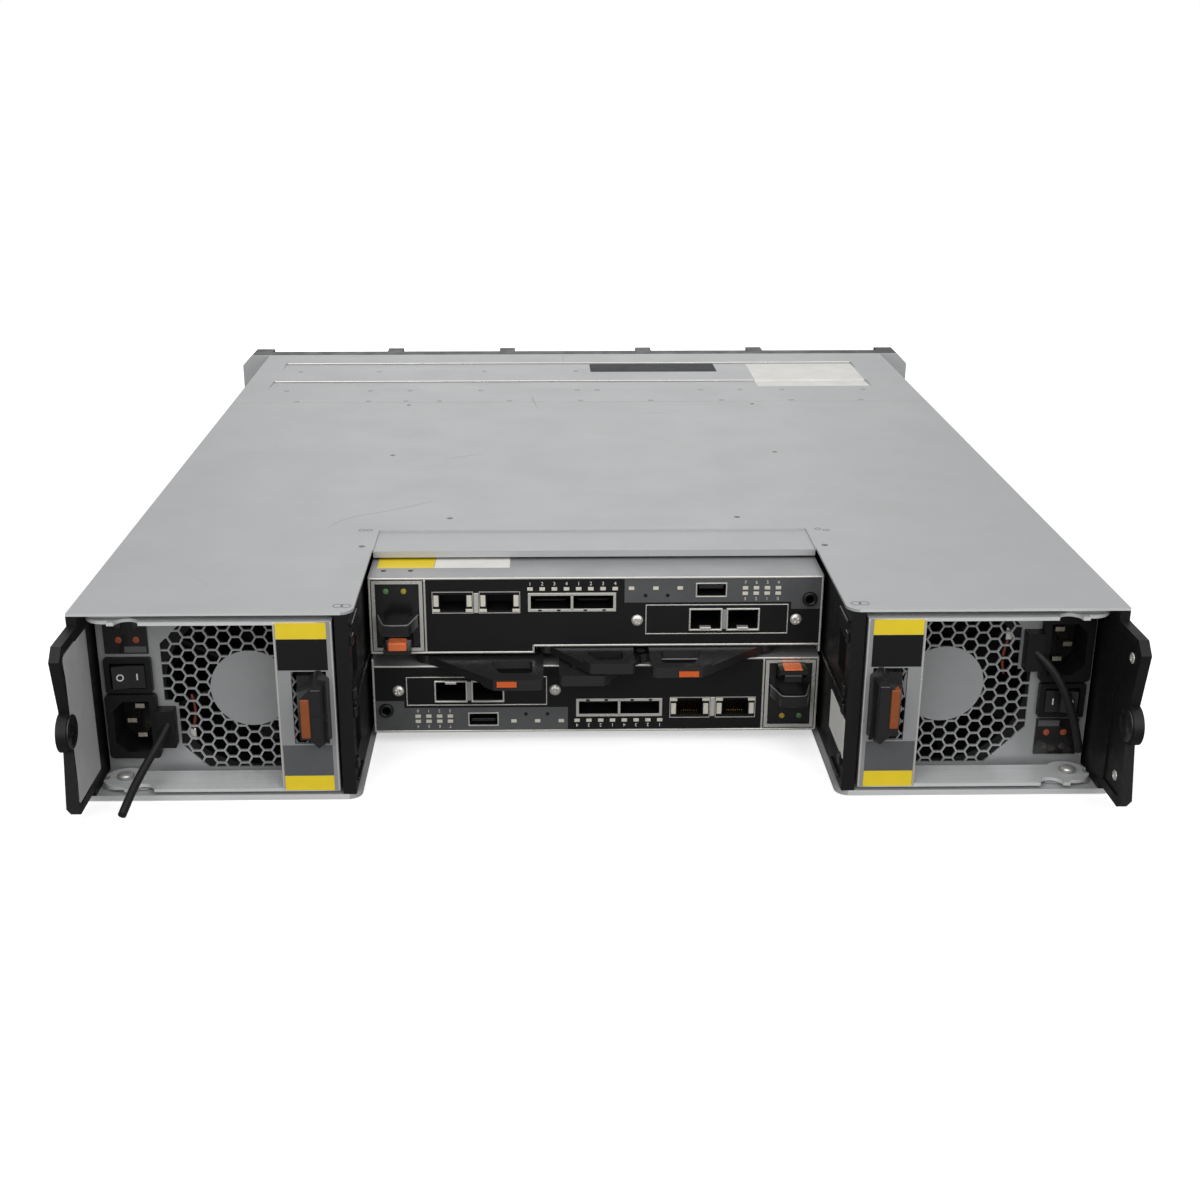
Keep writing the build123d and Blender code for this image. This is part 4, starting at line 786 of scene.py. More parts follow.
@dataclass
class PowerModules(TwinModules):
    """Power and cooling modules with handle, latch, fan, inlet, switch and lamps."""

    plate_x: Pair = (-136.3, -111.9)
    plate_z: Pair = (4.0, 82.5)
    arm: float = 1.6  # thickness of the handle's arms, with some room
    pivot: Point = (-207.0, -251.0, 6.65)  # rivet that the lower arm swings on, the foot of its dome
    column_x: float = -203.6  # centre of the inlet and switch column
    inlet_z: float = 26.4
    # Half width, half height and near and far ends of the space that the inlet's pins fill.
    pins: Tuple[float, float, float, float] = (4.1, 8.1, -237.1, -226.9)
    switch_z: float = 50.5
    rocker_y: float = -239.5
    rocker_lean: float = 7.0  # degrees that the rocker rests at
    mark_y: float = -245.2  # depth of the rocker's marks
    mark_x: float = 3.6  # how far the marks lie from the rocker's middle
    window_low: float = 60.1  # lower edge of the lamp window
    lamp_y: float = -242.0  # rear face of the lamp window
    floor_z: float = 11.5  # height that the supply's plated floor stays under

    def build(self) -> None:
        """Finish the nodes and add the details."""
        self.finish_nodes()
        self.labels()
        self.handle_details()
        self.latch_head()
        self.lamps()
        self.switch_marks()
        self.leads()
        self.place()

    def finish_nodes(self) -> None:
        """Give each node its finish."""
        self.coat(Finishes.PLATED_SHEET, "case", "face", "handle")
        self.coat(Finishes.BLACK_MOULDING, "inlet", "switch_panel")
        self.coat(Finishes.GLOSS_MOULDING, "switch", "latch")
        self.coat(Finishes.FAN_NYLON, "fan_frame", "fan_rotor")
        self.coat(Finishes.BOARD_GREEN, "supply")
        self.coat(Finishes.STRAP_NYLON, "strap")
        low, high = grown(self.plate_z, -self.arm)
        # The arms above and below the plate get the brighter steel: a painted highlight.
        self.paint("handle", Finishes.STEEL_PAINTED_HIGHLIGHT,
                   lambda c, n: all(v.z < low for v in c) or all(v.z > high for v in c))
        self.paint("inlet", Finishes.PIN_METAL, self.on_pin)
        self.paint("switch_panel", Finishes.SMOKED_WINDOW, lambda c, n: all(v.z > self.window_low for v in c))
        self.paint("supply", Finishes.PLATED_SHEET, lambda c, n: max(v.z for v in c) > self.floor_z)

    def on_pin(self, corners: Sequence[Vector], normal: Vector) -> bool:
        """True for a face of one of the inlet's three pins, not of the inlet's floor."""
        wide, tall, start, end = self.pins
        return normal.y <= SQUARE_ON and not all(c.y > end - 0.2 for c in corners) and all(
            abs(c.x - self.column_x) < wide and abs(c.z - self.inlet_z) < tall and start < c.y < end
            for c in corners)

    def labels(self) -> None:
        """Bare label fields on the grip plate: yellow, black, grey, yellow from the top on either module."""
        x = (self.plate_x[0] + 0.9, self.plate_x[1] - 2.4)
        y = (REAR_Y - 0.14, REAR_Y + SUNK)
        yellow, black, grey = Finishes.YELLOW_LABEL, Finishes.BLACK_LABEL_AND_HOLE_SHADE, Finishes.GREY_LABEL
        for name, z, finish, turned in (
                ("end_a", (74.7, 82.0), yellow, yellow), ("field_a", (60.6, 74.6), black, grey),
                ("field_b", (11.5, 25.9), grey, black), ("end_b", (4.5, 11.4), yellow, yellow)):
            self.keep(block(name, x, y, z, 0.05, 1), f"label_{name}", finish, "latch", "handle", turned)

    def handle_details(self) -> None:
        """Bright strips down the grip plate's edges, a painted highlight, and domes on the rivets that the
        handle swings on.
        """
        y, z = (REAR_Y - 0.22, REAR_Y + 0.6), grown(self.plate_z, -0.4)
        edges = [block("edge", near(x, 0.45), y, z, 0.3)
                 for x in (self.plate_x[0] + 0.25, self.plate_x[1] - 0.45)]
        self.keep(join("edges", edges), "plate_edge_highlights", Finishes.NICKEL_AND_EDGE_HIGHLIGHT, "io_metal", "handle")
        x, y, z = self.pivot
        domes = [spread("dome", dome(3.1, 1.3), [(x, y, height)], towards)
                 for height, towards in ((z, UPWARD), (2 * MID_Z - z, DOWNWARD))]
        self.keep(join("rivets", domes), "pivot_rivets", Finishes.NICKEL_AND_EDGE_HIGHLIGHT, "io_metal")

    def latch_head(self) -> None:
        """Orange insert, painted darker as shade, and raised thumb pad on the latch's bevelled head."""
        insert = block("insert", (-125.7, -121.9), (-271.4, -266.0), (33.0, 50.8), 0.5)
        self.keep(insert, "latch_insert", Finishes.SHADED_ORANGE_INSERT, "release", "latch")
        pad = block("pad", (-121.3, -116.9), (-271.3, -269.5), (31.2, 55.3), 0.5)
        cut(pad, block("groove", (-122.0, -116.0), (-271.9, -271.0), (42.9, 43.6), 0.0))
        self.keep(pad, "latch_pad", Finishes.GLOSS_MOULDING, "rocker", "latch")

    def lamps(self) -> None:
        """Four lamp lenses and the paler strip on the smoked window."""
        spots = [(x, z, finish) for z, finish in ((66.6, Finishes.LENS_AMBER), (73.4, Finishes.DIM_LENS_AND_HOLE_SHADE))
                 for x in (-206.6, -199.0)]
        for number, (x, z, finish) in enumerate(spots, start=1):
            lens = disc("lens", (x, self.lamp_y + 0.2, z), 1.5, 0.9, REARWARD, 0.3)
            self.keep(lens, f"lamp_{number}", finish, "rocker")
        strip = block("strip", (-204.4, -194.9), near(self.lamp_y, 0.1), (60.8, 63.6), 0.04, 1)
        self.keep(strip, "lamp_strip", Finishes.GREY_PRINT, "black_panel")

    def switch_marks(self) -> None:
        """Ring and bar moulded in white on the rocker's two faces."""
        lean = math.radians(self.rocker_lean)
        axis = Vector((self.column_x, self.rocker_y, self.switch_z)) * MM
        rest = Matrix.Translation(axis) @ Matrix.Rotation(lean, 4, "Z") @ Matrix.Translation(-axis)
        marks = [ring("ring", (self.column_x - self.mark_x, self.mark_y, self.switch_z), 1.6, 1.1, 0.4),
                 block("bar", (self.column_x + 3.3, self.column_x + 3.9), near(self.mark_y, 0.2),
                       near(self.switch_z, 1.5), 0.08, 1)]
        for obj, side in zip(marks, (-1, 1)):
            slope = Matrix.Rotation(-side * lean, 4, "Z")
            spot = Vector((self.column_x + side * self.mark_x, self.mark_y, self.switch_z)) * MM
            obj.data.transform(rest @ Matrix.Translation(spot) @ slope @ Matrix.Translation(-spot))
        self.keep(join("marks", marks), "switch_marks", Finishes.WHITE_PRINT, "rocker", "switch")

    def leads(self) -> None:
        """Red lead, painted darker as shade, and its crimped tag, seen through the grille."""
        lead = wire("lead", ((-178.2, -238.4, 39.5), (-177.2, -238.7, 36.0), (-176.9, -238.8, 32.0),
                             (-177.3, -238.8, 28.0), (-178.6, -238.8, 23.0)), 0.7)
        self.keep(lead, "fan_lead", Finishes.SHADED_WIRE_RED, "fan")
        tag = block("tag", (-180.6, -177.4), (-239.4, -238.2), (17.6, 23.4), 0.4)
        self.keep(tag, "lead_tag", Finishes.NICKEL_AND_EDGE_HIGHLIGHT, "io_metal")


@dataclass
class Controllers(TwinModules):
    """Controller canisters with ports, lamps, levers and battery."""

    face_y: float = -206.0  # rear face of the panel
    socket_y: float = -185.5  # front end of the sockets on the board
    socket_z: float = 65.6  # height above which the board carries only sockets
    half_width: float = 102.8
    tall: Pair = (44.6, 81.4)  # lower and upper limits of the canister
    sheet: float = 1.0  # thickness of the canister's sheet
    divider_x: float = -78.0  # wall beside the battery
    pocket_x: float = -29.0  # left wall of the lever pocket
    pocket_z: float = 47.8  # roof of the lever pocket
    network_x: Pair = (-64.9, -43.7)  # centres of the network sockets
    network_z: float = 69.3
    shelf: Pair = (-10.95, 69.35)  # centre of the double shelf socket
    shelf_size: Pair = (39.3, 8.4)
    serial: Pair = (52.05, 74.9)  # centre of the serial-bus socket
    serial_size: Pair = (14.2, 6.9)
    jack: Pair = (96.9, 70.2)  # centre of the round jack
    card_x: Pair = (22.7, 87.1)  # card's window
    card_z: Pair = (53.75, 67.65)
    cages: Pair = (49.8, 66.8)  # centres of the card's cages
    cage_size: Pair = (15.2, 10.8)
    cage_wall: float = 0.7
    lamp_x: float = -29.9  # first of the eight numbered lamps
    lamp_step: float = 5.49
    grid_x: float = 67.4  # first column of the lamp grid
    grid_step: float = 4.97
    pad_x: Pair = (-94.1, -85.7)  # limits of the catch's pads
    # Corners of the battery's grip along its edge.
    grip: Sequence[Pair] = ((-99.0, -205.6), (-96.1, -217.4), (-94.8, -219.4), (-85.0, -219.4),
                            (-83.7, -217.4), (-80.8, -205.6))
    grip_z: Pair = (58.7, 63.4)  # lower and upper edge of the grip

    def build(self) -> None:
        """Finish the nodes and add the details."""
        self.finish_nodes()
        self.canister_edge_highlights()
        self.print_field()
        self.digits()
        self.port_shells()
        self.port_lights()
        self.contacts()
        self.lamp_windows()
        self.fasteners()
        self.battery_details()
        self.top_stickers()
        self.place()

    @property
    def cage_z(self) -> float:
        """Height of the cages' centre."""
        return (self.card_z[0] + self.card_z[1]) / 2

    def deep(self, out: float, inwards: float) -> Pair:
        """Limits along Y from so far behind the panel's face to so far inside it."""
        return (self.face_y - out, self.face_y + inwards)

    def finish_nodes(self) -> None:
        """Give each node its finish."""
        self.coat(Finishes.PLATED_SHEET, "case", "io_card")
        self.coat(Finishes.BLACK_PANEL, "face")
        self.coat(Finishes.BOARD_GREEN, "board")
        self.coat(Finishes.LEVER_NYLON, "lever_long", "lever_short")
        self.coat(Finishes.ORANGE, "release_tab")
        self.coat(Finishes.GLOSS_MOULDING, "battery", "battery_catch")
        self.paint("board", Finishes.BLACK_MOULDING, self.in_socket)
        self.paint("io_card", Finishes.BLACK_PANEL, self.on_card_panel)
        # Inside the cages the plated walls are painted black: painted shade.
        self.paint("io_card", Finishes.BLACK_MOULDING, self.cage_inside_shade)
        self.paint("battery", Finishes.NICKEL_AND_EDGE_HIGHLIGHT,
                   lambda c, n: n.y < -SQUARE_ON and all(abs(v.y - self.face_y) < 0.1 for v in c))

    def in_socket(self, corners: Sequence[Vector], normal: Vector) -> bool:
        """True for a face of a socket or the jack, not of the board itself."""
        return all(c.y < self.socket_y for c in corners) and (
            any(c.y < self.face_y + 1.0 for c in corners)
            or all(c.y > self.face_y - 0.1 for c in corners) and max(c.z for c in corners) > self.socket_z)

    def within(self, corner: Vector, x: float, inset: float) -> bool:
        """True where a corner lies in the cage at a place along X, less an inset of its outline."""
        half_width, half_height = (size / 2 - inset for size in self.cage_size)
        return abs(corner.x - x) < half_width and abs(corner.z - self.cage_z) < half_height

    def on_card_panel(self, corners: Sequence[Vector], normal: Vector) -> bool:
        """True for a face of the card's panel in its window."""
        return normal.y < -SQUARE_ON and all(c.y < self.face_y + 0.1 for c in corners) and any(
            not any(self.within(c, x, -0.02) for x in self.cages) for c in corners)

    def cage_inside_shade(self, corners: Sequence[Vector], normal: Vector) -> bool:
        """True for the inner walls and the far end of a cage, which are painted black as the shade inside it.
        """
        return any(all(self.within(c, x, self.cage_wall - 0.05) for c in corners) for x in self.cages)

    def canister_edge_highlights(self) -> None:
        """Bright strips round the canister's face along its sheet's edges: a painted highlight."""
        (low, high), side, thick = self.tall, self.half_width, self.sheet
        right, wall, pocket, roof = side - thick, self.divider_x, self.pocket_x, self.pocket_z
        runs = (((-side, side), (high - thick, high)), ((-side, -side + thick), (low, high)),
                ((right, side), (low, high)), ((wall, wall + thick), (low + thick, high - thick)),
                ((-side, pocket + thick), (low, low + thick)),
                ((pocket, pocket + thick), (low, roof + thick)), ((pocket, right), (roof, roof + thick)))
        strips = [block("edge", x, self.deep(0.4, 0.5), z, 0.38, 3) for x, z in runs]
        self.keep(join("edges", strips), "canister_edge_highlights", Finishes.NICKEL_AND_EDGE_HIGHLIGHT, "io_metal")

    def print_field(self) -> None:
        """Grey printed area of the panel, cut out round its sockets."""
        through = self.deep(1.06, 1.02)
        area = block("print", (12.8, 101.7), self.deep(0.06, SUNK), (65.5, 80.3), 0.0)
        cut(area, block("step", (10.0, 88.5), through, (60.0, 69.0), 0.0))
        x, z = about(self.serial, self.serial_size)
        cut(area, block("hole", x, through, z, 0.0))
        cut(area, disc("hole", (self.jack[0], self.face_y, self.jack[1]), 3.5, 4.0, REARWARD, 0.0))
        self.keep(area, "print_field", Finishes.GREY_PRINT, "black_panel")

    def digits(self) -> None:
        """Plain numbers beside the lamps."""
        y = self.face_y - 0.08
        marks = [printed(str(step % 4 + 1), (self.lamp_x + step * self.lamp_step, y, 78.2), 1.7)
                 for step in range(8)]
        marks += [printed(str(last - step), (self.grid_x + step * self.grid_step, y, z), 1.5)
                  for step in range(4) for last, z in ((7, 78.4), (3, 70.5))]
        self.keep(join("digits", marks), "digits", Finishes.WHITE_PRINT, "black_panel")

    def port_shells(self) -> None:
        """Plated shells round the sockets, the card's window and its cages."""
        y = self.deep(0.35, 0.4)
        shells = [rim_frame("shelf", *about(self.shelf, self.shelf_size, 0.3), y, 1.3, 0.1)]
        x, (low, high) = self.shelf[0], about(self.shelf, self.shelf_size)[1]
        notch = block("notch", (-0.8, 0.8), (-2.0, 2.0), (-0.5, 0.5), 0.0)
        places = [(x + shift, self.face_y, low + 0.4) for shift in (-14.5, -6.0, 6.0, 14.5)]
        cut(shells[0], spread("notches", notch, places))
        shells.append(block("bar", near(x, 0.6), y, (low + 0.5, high - 0.5), 0.15))
        z = self.network_z
        shells += [rim_frame("shell", near(x, 9.3), (z - 5.0, z + 5.4), y, 0.3, 0.0)
                   for x in self.network_x]
        middle = sum(self.network_x) / 2
        shells.append(block("bar", near(middle, 1.1), y, (z - 4.9, z + 4.7)))
        shells.append(rim_frame("serial", *about(self.serial, self.serial_size), y, 0.6, 0.1))
        for x in self.cages:
            wide, tall = about((x, self.cage_z), self.cage_size)
            shells.append(rim_frame("cage", wide, tall, self.deep(0.8, 0.4), 0.75))
            foot = (tall[0] + 0.5, tall[0] + 1.8)
            shells.append(block("spring", near(x, 2.6), self.deep(0.9, 2.0), foot, 0.3))
        outline = grown(self.card_x, 0.25), grown(self.card_z, 0.25)
        shells.append(rim_frame("window", *outline, self.deep(0.12, 0.3), 0.45, 0.08))
        self.keep(join("shells", shells), "port_shells", Finishes.NICKEL_AND_EDGE_HIGHLIGHT, "io_metal")

    def port_lights(self) -> None:
        """Light pipes in the corners of the network sockets."""
        pipes = []
        for half_width, half_height, lift in ((1.15, 2.7, 0.9), (1.7, 0.75, -3.7)):
            pipe = block("pipe", (-half_width, half_width), (-0.35, 0.4), (-half_height, half_height))
            pipes.append(spread("pipes", pipe, [(x + side * 7.5, self.face_y, self.network_z + lift)
                                                for x in self.network_x for side in (-1, 1)]))
        self.keep(join("pipes", pipes), "network_lights", Finishes.LENS_CLEAR, "io_metal")

    def contacts(self) -> None:
        """Spring contacts, contact blades and the serial-bus tongue inside the sockets."""
        spring = block("spring", (-0.22, 0.22), (-4.5, 4.5), (-0.3, 0.3), 0.08, 1)
        places = [(x - 3.57 + step * 1.02, self.face_y + 7.5, self.network_z + 3.2)
                  for x in self.network_x for step in range(8)]
        self.keep(spread("springs", spring, places), "network_contacts", Finishes.GOLD_CONTACT, "io_metal")
        blade = block("blade", (-7.0, 7.0), (-4.0, 4.0), (-0.5, 0.5), 0.1, 1)
        x, z = self.shelf
        blades = spread("blades", blade, [(x + side * 9.6, self.face_y + 9.0, z - 0.6) for side in (-1, 1)])
        self.keep(blades, "shelf_blades", Finishes.BLACK_MOULDING, "rocker")
        x, z = self.serial
        tongue = block("tongue", near(x, 5.6), self.deep(-1.2, 12.0), (z + 0.2, z + 1.7))
        self.keep(tongue, "serial_tongue", Finishes.GLOSS_MOULDING, "rocker")

    def lamp_windows(self) -> None:
        """Small light windows in the panel, and black discs on it as the painted shade of its pin holes."""
        spots = [(self.lamp_x + step * self.lamp_step, self.face_y, 75.8) for step in range(8)]
        spots += [(x, self.face_y, 75.9) for x in (15.9, 26.9, 37.9)]
        spots += [(self.grid_x + step * self.grid_step, self.face_y, z)
                  for step in range(4) for z in (75.8, 73.2)]
        lens = block("lens", (-1.25, 1.25), (-0.3, 0.1), (-0.8, 0.8), 0.12)
        self.keep(spread("lamps", lens, spots), "lamp_windows", Finishes.LENS_CLEAR, "io_metal")
        hole = disc("hole", (0, 0, 0), 0.9, 0.24, UPWARD, 0.05, 20)
        holes = spread("holes", hole, [(x, self.face_y, 72.4) for x in (22.3, 32.3)], REARWARD)
        self.keep(holes, "pin_hole_shades", Finishes.BLACK_LABEL_AND_HOLE_SHADE, "black_panel")

    def fasteners(self) -> None:
        """Card screws and the jack's ring nut."""
        places = [(x, self.face_y, 60.4) for x in (18.7, 91.0)]
        screws = spread("screws", dome(2.7, 1.4, True), places, REARWARD)
        self.keep(screws, "card_screws", Finishes.NICKEL_AND_EDGE_HIGHLIGHT, "io_metal")
        nut = ring("nut", (self.jack[0], self.face_y - 0.5, self.jack[1]), 3.2, 1.9, 1.4)
        soften(nut, 0.25, 2, angle_limit=0.9)
        self.keep(nut, "jack_nut", Finishes.GLOSS_MOULDING, "rocker")

    def battery_details(self) -> None:
        """Two lamps on the battery's face, pale beads along the grip's edges as a painted highlight, and the
        catch's pads.

        The catch has a pad on either side, and the one that faces up is orange.
        """
        for number, x, finish in ((1, -95.0, Finishes.LENS_GREEN), (2, -87.0, Finishes.LENS_YELLOW)):
            lens = disc("lens", (x, self.face_y + 1.1, 74.6), 1.3, 0.8, REARWARD, 0.25)
            self.keep(lens, f"battery_lamp_{number}", finish, "battery", "battery")
        orange, black = Finishes.ORANGE_PAD, Finishes.GLOSS_MOULDING
        pad = block("pad", self.pad_x, (-215.6, -209.0), (49.6, 53.7), 0.7)
        self.keep(pad, "catch_pad", orange, "release", "battery_catch", black)
        back = block("back_pad", self.pad_x, (-214.9, -206.5), (47.2, 48.2), 0.45)
        self.keep(back, "catch_back_pad", black, "release", "battery_catch", orange)
        beads = [wire("bead", [(x, y, z) for x, y in self.grip], 0.45) for z in self.grip_z]
        self.keep(join("beads", beads), "grip_edge_highlights", Finishes.GRIP_EDGE_HIGHLIGHT, "battery", "battery")

    def top_stickers(self) -> None:
        """Bare yellow and white stickers, and two black discs on the canister's outer sheet as the painted
        shade of two holes.
        """
        top = self.tall[1]
        runs = [(y, top) for y in (-192.7, -183.0, -168.0)]
        for name, x, finish in (("yellow", (-99.8, -73.8), Finishes.YELLOW_LABEL),
                                ("white", (-73.6, -39.2), Finishes.WHITE_LABEL)):
            self.keep(sticker(name, x, runs), f"sticker_{name}", finish, "galvanised_sheet")
        hole = disc("hole", (0, 0, 0), 1.3, 0.1, UPWARD, 0.02, 24)
        holes = spread("holes", hole, [(x, -196.3, top) for x in (-96.5, -84.2)])
        self.keep(holes, "top_hole_shades", Finishes.BLACK_LABEL_AND_HOLE_SHADE, "black_panel")


@dataclass
class Chassis:
    """Tray, covers, trim, guards and bay walls, with their fasteners and bare labels."""

    dresser: Dresser
    top: float = 86.5  # height of the covers
    side: float = 221.5  # outer face of the tray's walls
    guard_x: float = 217.2  # inner face of the guards
    tab: Pair = (-284.5, MID_Z)  # centre of the guards' finger tabs, as Y and Z
    tab_radius: float = 8.5
    wall_x: float = 105.0  # inner face of the bay walls
    ridges: Pair = (176.0, 234.0)  # far edges of the front cover's two ridges
    ridge_ends: Pair = (118.6, 194.5)  # right end of each ridge's highlight strip
    ridge_left: float = -204.5
    ridge_length: float = 24.0  # length of a ridge's slope
    ridge_drop: float = 0.9  # depth of a ridge at its far edge
    # Rows of half-sheared pips on the front cover, as Y and the places along X.
    pips: Sequence[Tuple[float, Sequence[float]]] = (
        (146.0, (-192.0, -137.1, -111.1, -64.8, -1.2, 11.9, 79.9, 106.0, 133.5, 187.2)),
        (116.2, (-181.0, -135.4, -111.5, -90.2, -45.1, 0.2, 45.2, 90.6, 135.4, 180.0)),
        (205.0, (-191.2, -137.1, -64.5, -1.1)))

    def build(self) -> None:
        """Finish the nodes and add the details."""
        for node in ("chassis_tray", "rear_cover", "front_cover"):
            self.dresser.coat(node, Finishes.ZINC_SHEET)
            # Faces turned to the rear along the sheets' rear edges get the brighter steel: a painted
            # highlight.
            self.dresser.paint(node, Finishes.STEEL_PAINTED_HIGHLIGHT,
                               lambda c, n: n.y < -SQUARE_ON and all(v.y < REAR_Y + 0.1 for v in c))
        self.dresser.coat("drive_cage", Finishes.PLATED_SHEET)
        self.dresser.coat("midplane", Finishes.BOARD_GREEN)
        for node in ("front_trim", "bay_walls", "side_guards"):
            self.dresser.coat(node, Finishes.BLACK_MOULDING)
        self.cover_fasteners()
        self.cover_marks()
        self.cover_labels()
        self.ridge_edge_highlights()
        self.wall_rails()
        self.guard_details()
        self.wall_label()
        self.side_rivets()

    def add(self, obj: Obj, finish: Finishes, slot: str = "galvanised_sheet") -> None:
        """Put a finished detail on the chassis."""
        self.dresser.add(obj, "chassis", finish, slot)

    def cover_fasteners(self) -> None:
        """Near-flat screw heads with a cross recess on the covers, painted dark as the shade of small holes.
        """
        places = ((-69.7, -133.2), (71.6, -133.2), (-108.1, -15.0), (107.2, -11.0), (-108.7, 105.8),
                  (109.0, 105.8), (-108.2, -176.1), (107.4, -177.5))
        screws = [(x, y, self.top - 0.02) for x, y in places]
        self.add(spread("cover_hole_shades", dome(1.7, 0.12, True), screws), Finishes.DIM_LENS_AND_HOLE_SHADE)

    def cover_marks(self) -> None:
        """Half-sheared pips across the covers, and clinch marks on the wings, darker as painted shade."""
        pips = [(x, y) for y, row in self.pips for x in row]
        pips += [(-110.8, -151.8), (-107.2, -151.8), (108.3, -153.0), (111.9, -155.0)]
        clinches = [(-109.9, -254.7), (-106.5, -254.7), (107.6, -255.1), (111.0, -255.1)]
        for name, radius, hole, places in (("cover_pips", 1.7, 1.1, pips),
                                           ("wing_clinches", 2.3, 1.7, clinches)):
            mark = ring("mark", (0, 0, 0), radius, hole, 0.16, UPWARD)
            self.add(spread(name, mark, [(x, y, self.top) for x, y in places]), Finishes.SHADED_PRESSED_MARK)

    def ridge_profile(self, start: float, end: float) -> List[Pair]:
        """Profile of the front cover's upper face between two places along Y.

        Args:
            start: where the profile starts.
            end: where it ends.

        Returns:
            Points of Y and Z, into each ridge's slope and out at its far edge.
        """
        points = [(start, self.height_at(start))]
        for far in self.ridges:
            bends = ((far - self.ridge_length, self.top), (far - 0.01, self.top - self.ridge_drop),
                     (far, self.top))
            points += [(y, z) for y, z in bends if start < y < end]
        return points + [(end, self.height_at(end))]

    def height_at(self, y: float) -> float:
        """Height of the front cover's upper face at a place along Y.

        Args:
            y: the place.

        Returns:
            The height, less on a ridge's slope.
        """
        for far in self.ridges:
            if far - self.ridge_length < y < far:
                return self.top - self.ridge_drop * (y - far + self.ridge_length) / self.ridge_length
        return self.top

    def cover_labels(self) -> None:
        """Bare dark and white labels that follow the front cover's ridges."""
        dark = sticker("cover_label_dark", (9.0, 96.4), self.ridge_profile(202.0, 231.5))
        self.add(dark, Finishes.DARK_LABEL)
        white = sticker("cover_label_white", (119.3, 193.6), self.ridge_profile(157.0, 230.0))
        self.add(white, Finishes.WHITE_LABEL)

    def ridge_edge_highlights(self) -> None:
        """Rounded strips along the far edges of the two ridges, in a brighter metal than the cover: a painted
        highlight that also catches the light.
        """
        z = (self.top - 0.8, self.top + 0.06)
        strips = [block("edge", (self.ridge_left, end), (y - 0.8, y + 0.1), z, 0.42, 3)
                  for end, y in zip(self.ridge_ends, self.ridges)]
        self.add(join("ridge_edge_highlights", strips), Finishes.NICKEL_AND_EDGE_HIGHLIGHT)

    def wall_rails(self) -> None:
        """Guide rails and stops moulded on the inner faces of the bay walls."""
        runs = [((-258.0, -186.0), (42.4, 44.1)), ((-258.0, -240.0), (6.5, 8.0)),
                ((-258.0, -240.0), (78.5, 80.0))]
        runs += [((-259.5, -255.5), (z, z + 5.0)) for z in (13.0, 37.0, 45.5, 70.0)]
        for name, sign in SIDES:
            x = sorted((sign * (self.wall_x + 0.2), sign * (self.wall_x - 1.3)))
            rails = join(f"wall_rails_{name}", [block("rail", x, y, z, 0.35) for y, z in runs])
            self.add(rails, Finishes.GLOSS_MOULDING, "black_moulding")

    def guard_details(self) -> None:
        """Bare label on the left guard's inner face, two screws on the right guard's, a boss on each tab."""
        x = (-self.guard_x - 0.85, -self.guard_x + 0.12)
        self.add(block("guard_label", x, (-284.0, -252.0), (10.4, 76.0), 0.1), Finishes.SILVER_LABEL)
        for name, sign in SIDES:
            centre = (sign * (self.guard_x + 0.1), *self.tab)
            boss = disc(f"guard_boss_{name}", centre, self.tab_radius - 1.2, 1.4, (-sign, 0.0, 0.0), 0.4, 48)
            self.add(boss, Finishes.GLOSS_MOULDING, "black_moulding")
        places = [(self.guard_x + 0.78, y, z) for y, z in ((-279.0, 70.7), (-277.0, 16.2))]
        screws = spread("guard_screws", dome(2.4, 0.7, True), places, (-1.0, 0.0, 0.0))
        self.add(screws, Finishes.NICKEL_AND_EDGE_HIGHLIGHT, "io_metal")

    def wall_label(self) -> None:
        """Bare white label plate on the right bay wall."""
        x = (self.wall_x - 0.2, self.wall_x + 0.1)
        self.add(block("wall_label", x, (-261.5, -228.0), (17.2, 35.4), 0.08, 1), Finishes.WHITE_LABEL)

    def side_rivets(self) -> None:
        """Rivets that hold the cage and the guards, down both side walls."""
        for name, sign in SIDES:
            places = [(sign * self.side, y, z)
                      for y in (-210.0, -90.0, 40.0, 100.0, 250.0) for z in (14.0, 72.0)]
            rivets = spread(f"side_rivets_{name}", dome(2.4, 0.8), places, (sign, 0.0, 0.0))
            self.add(rivets, Finishes.PLATED_SHEET)


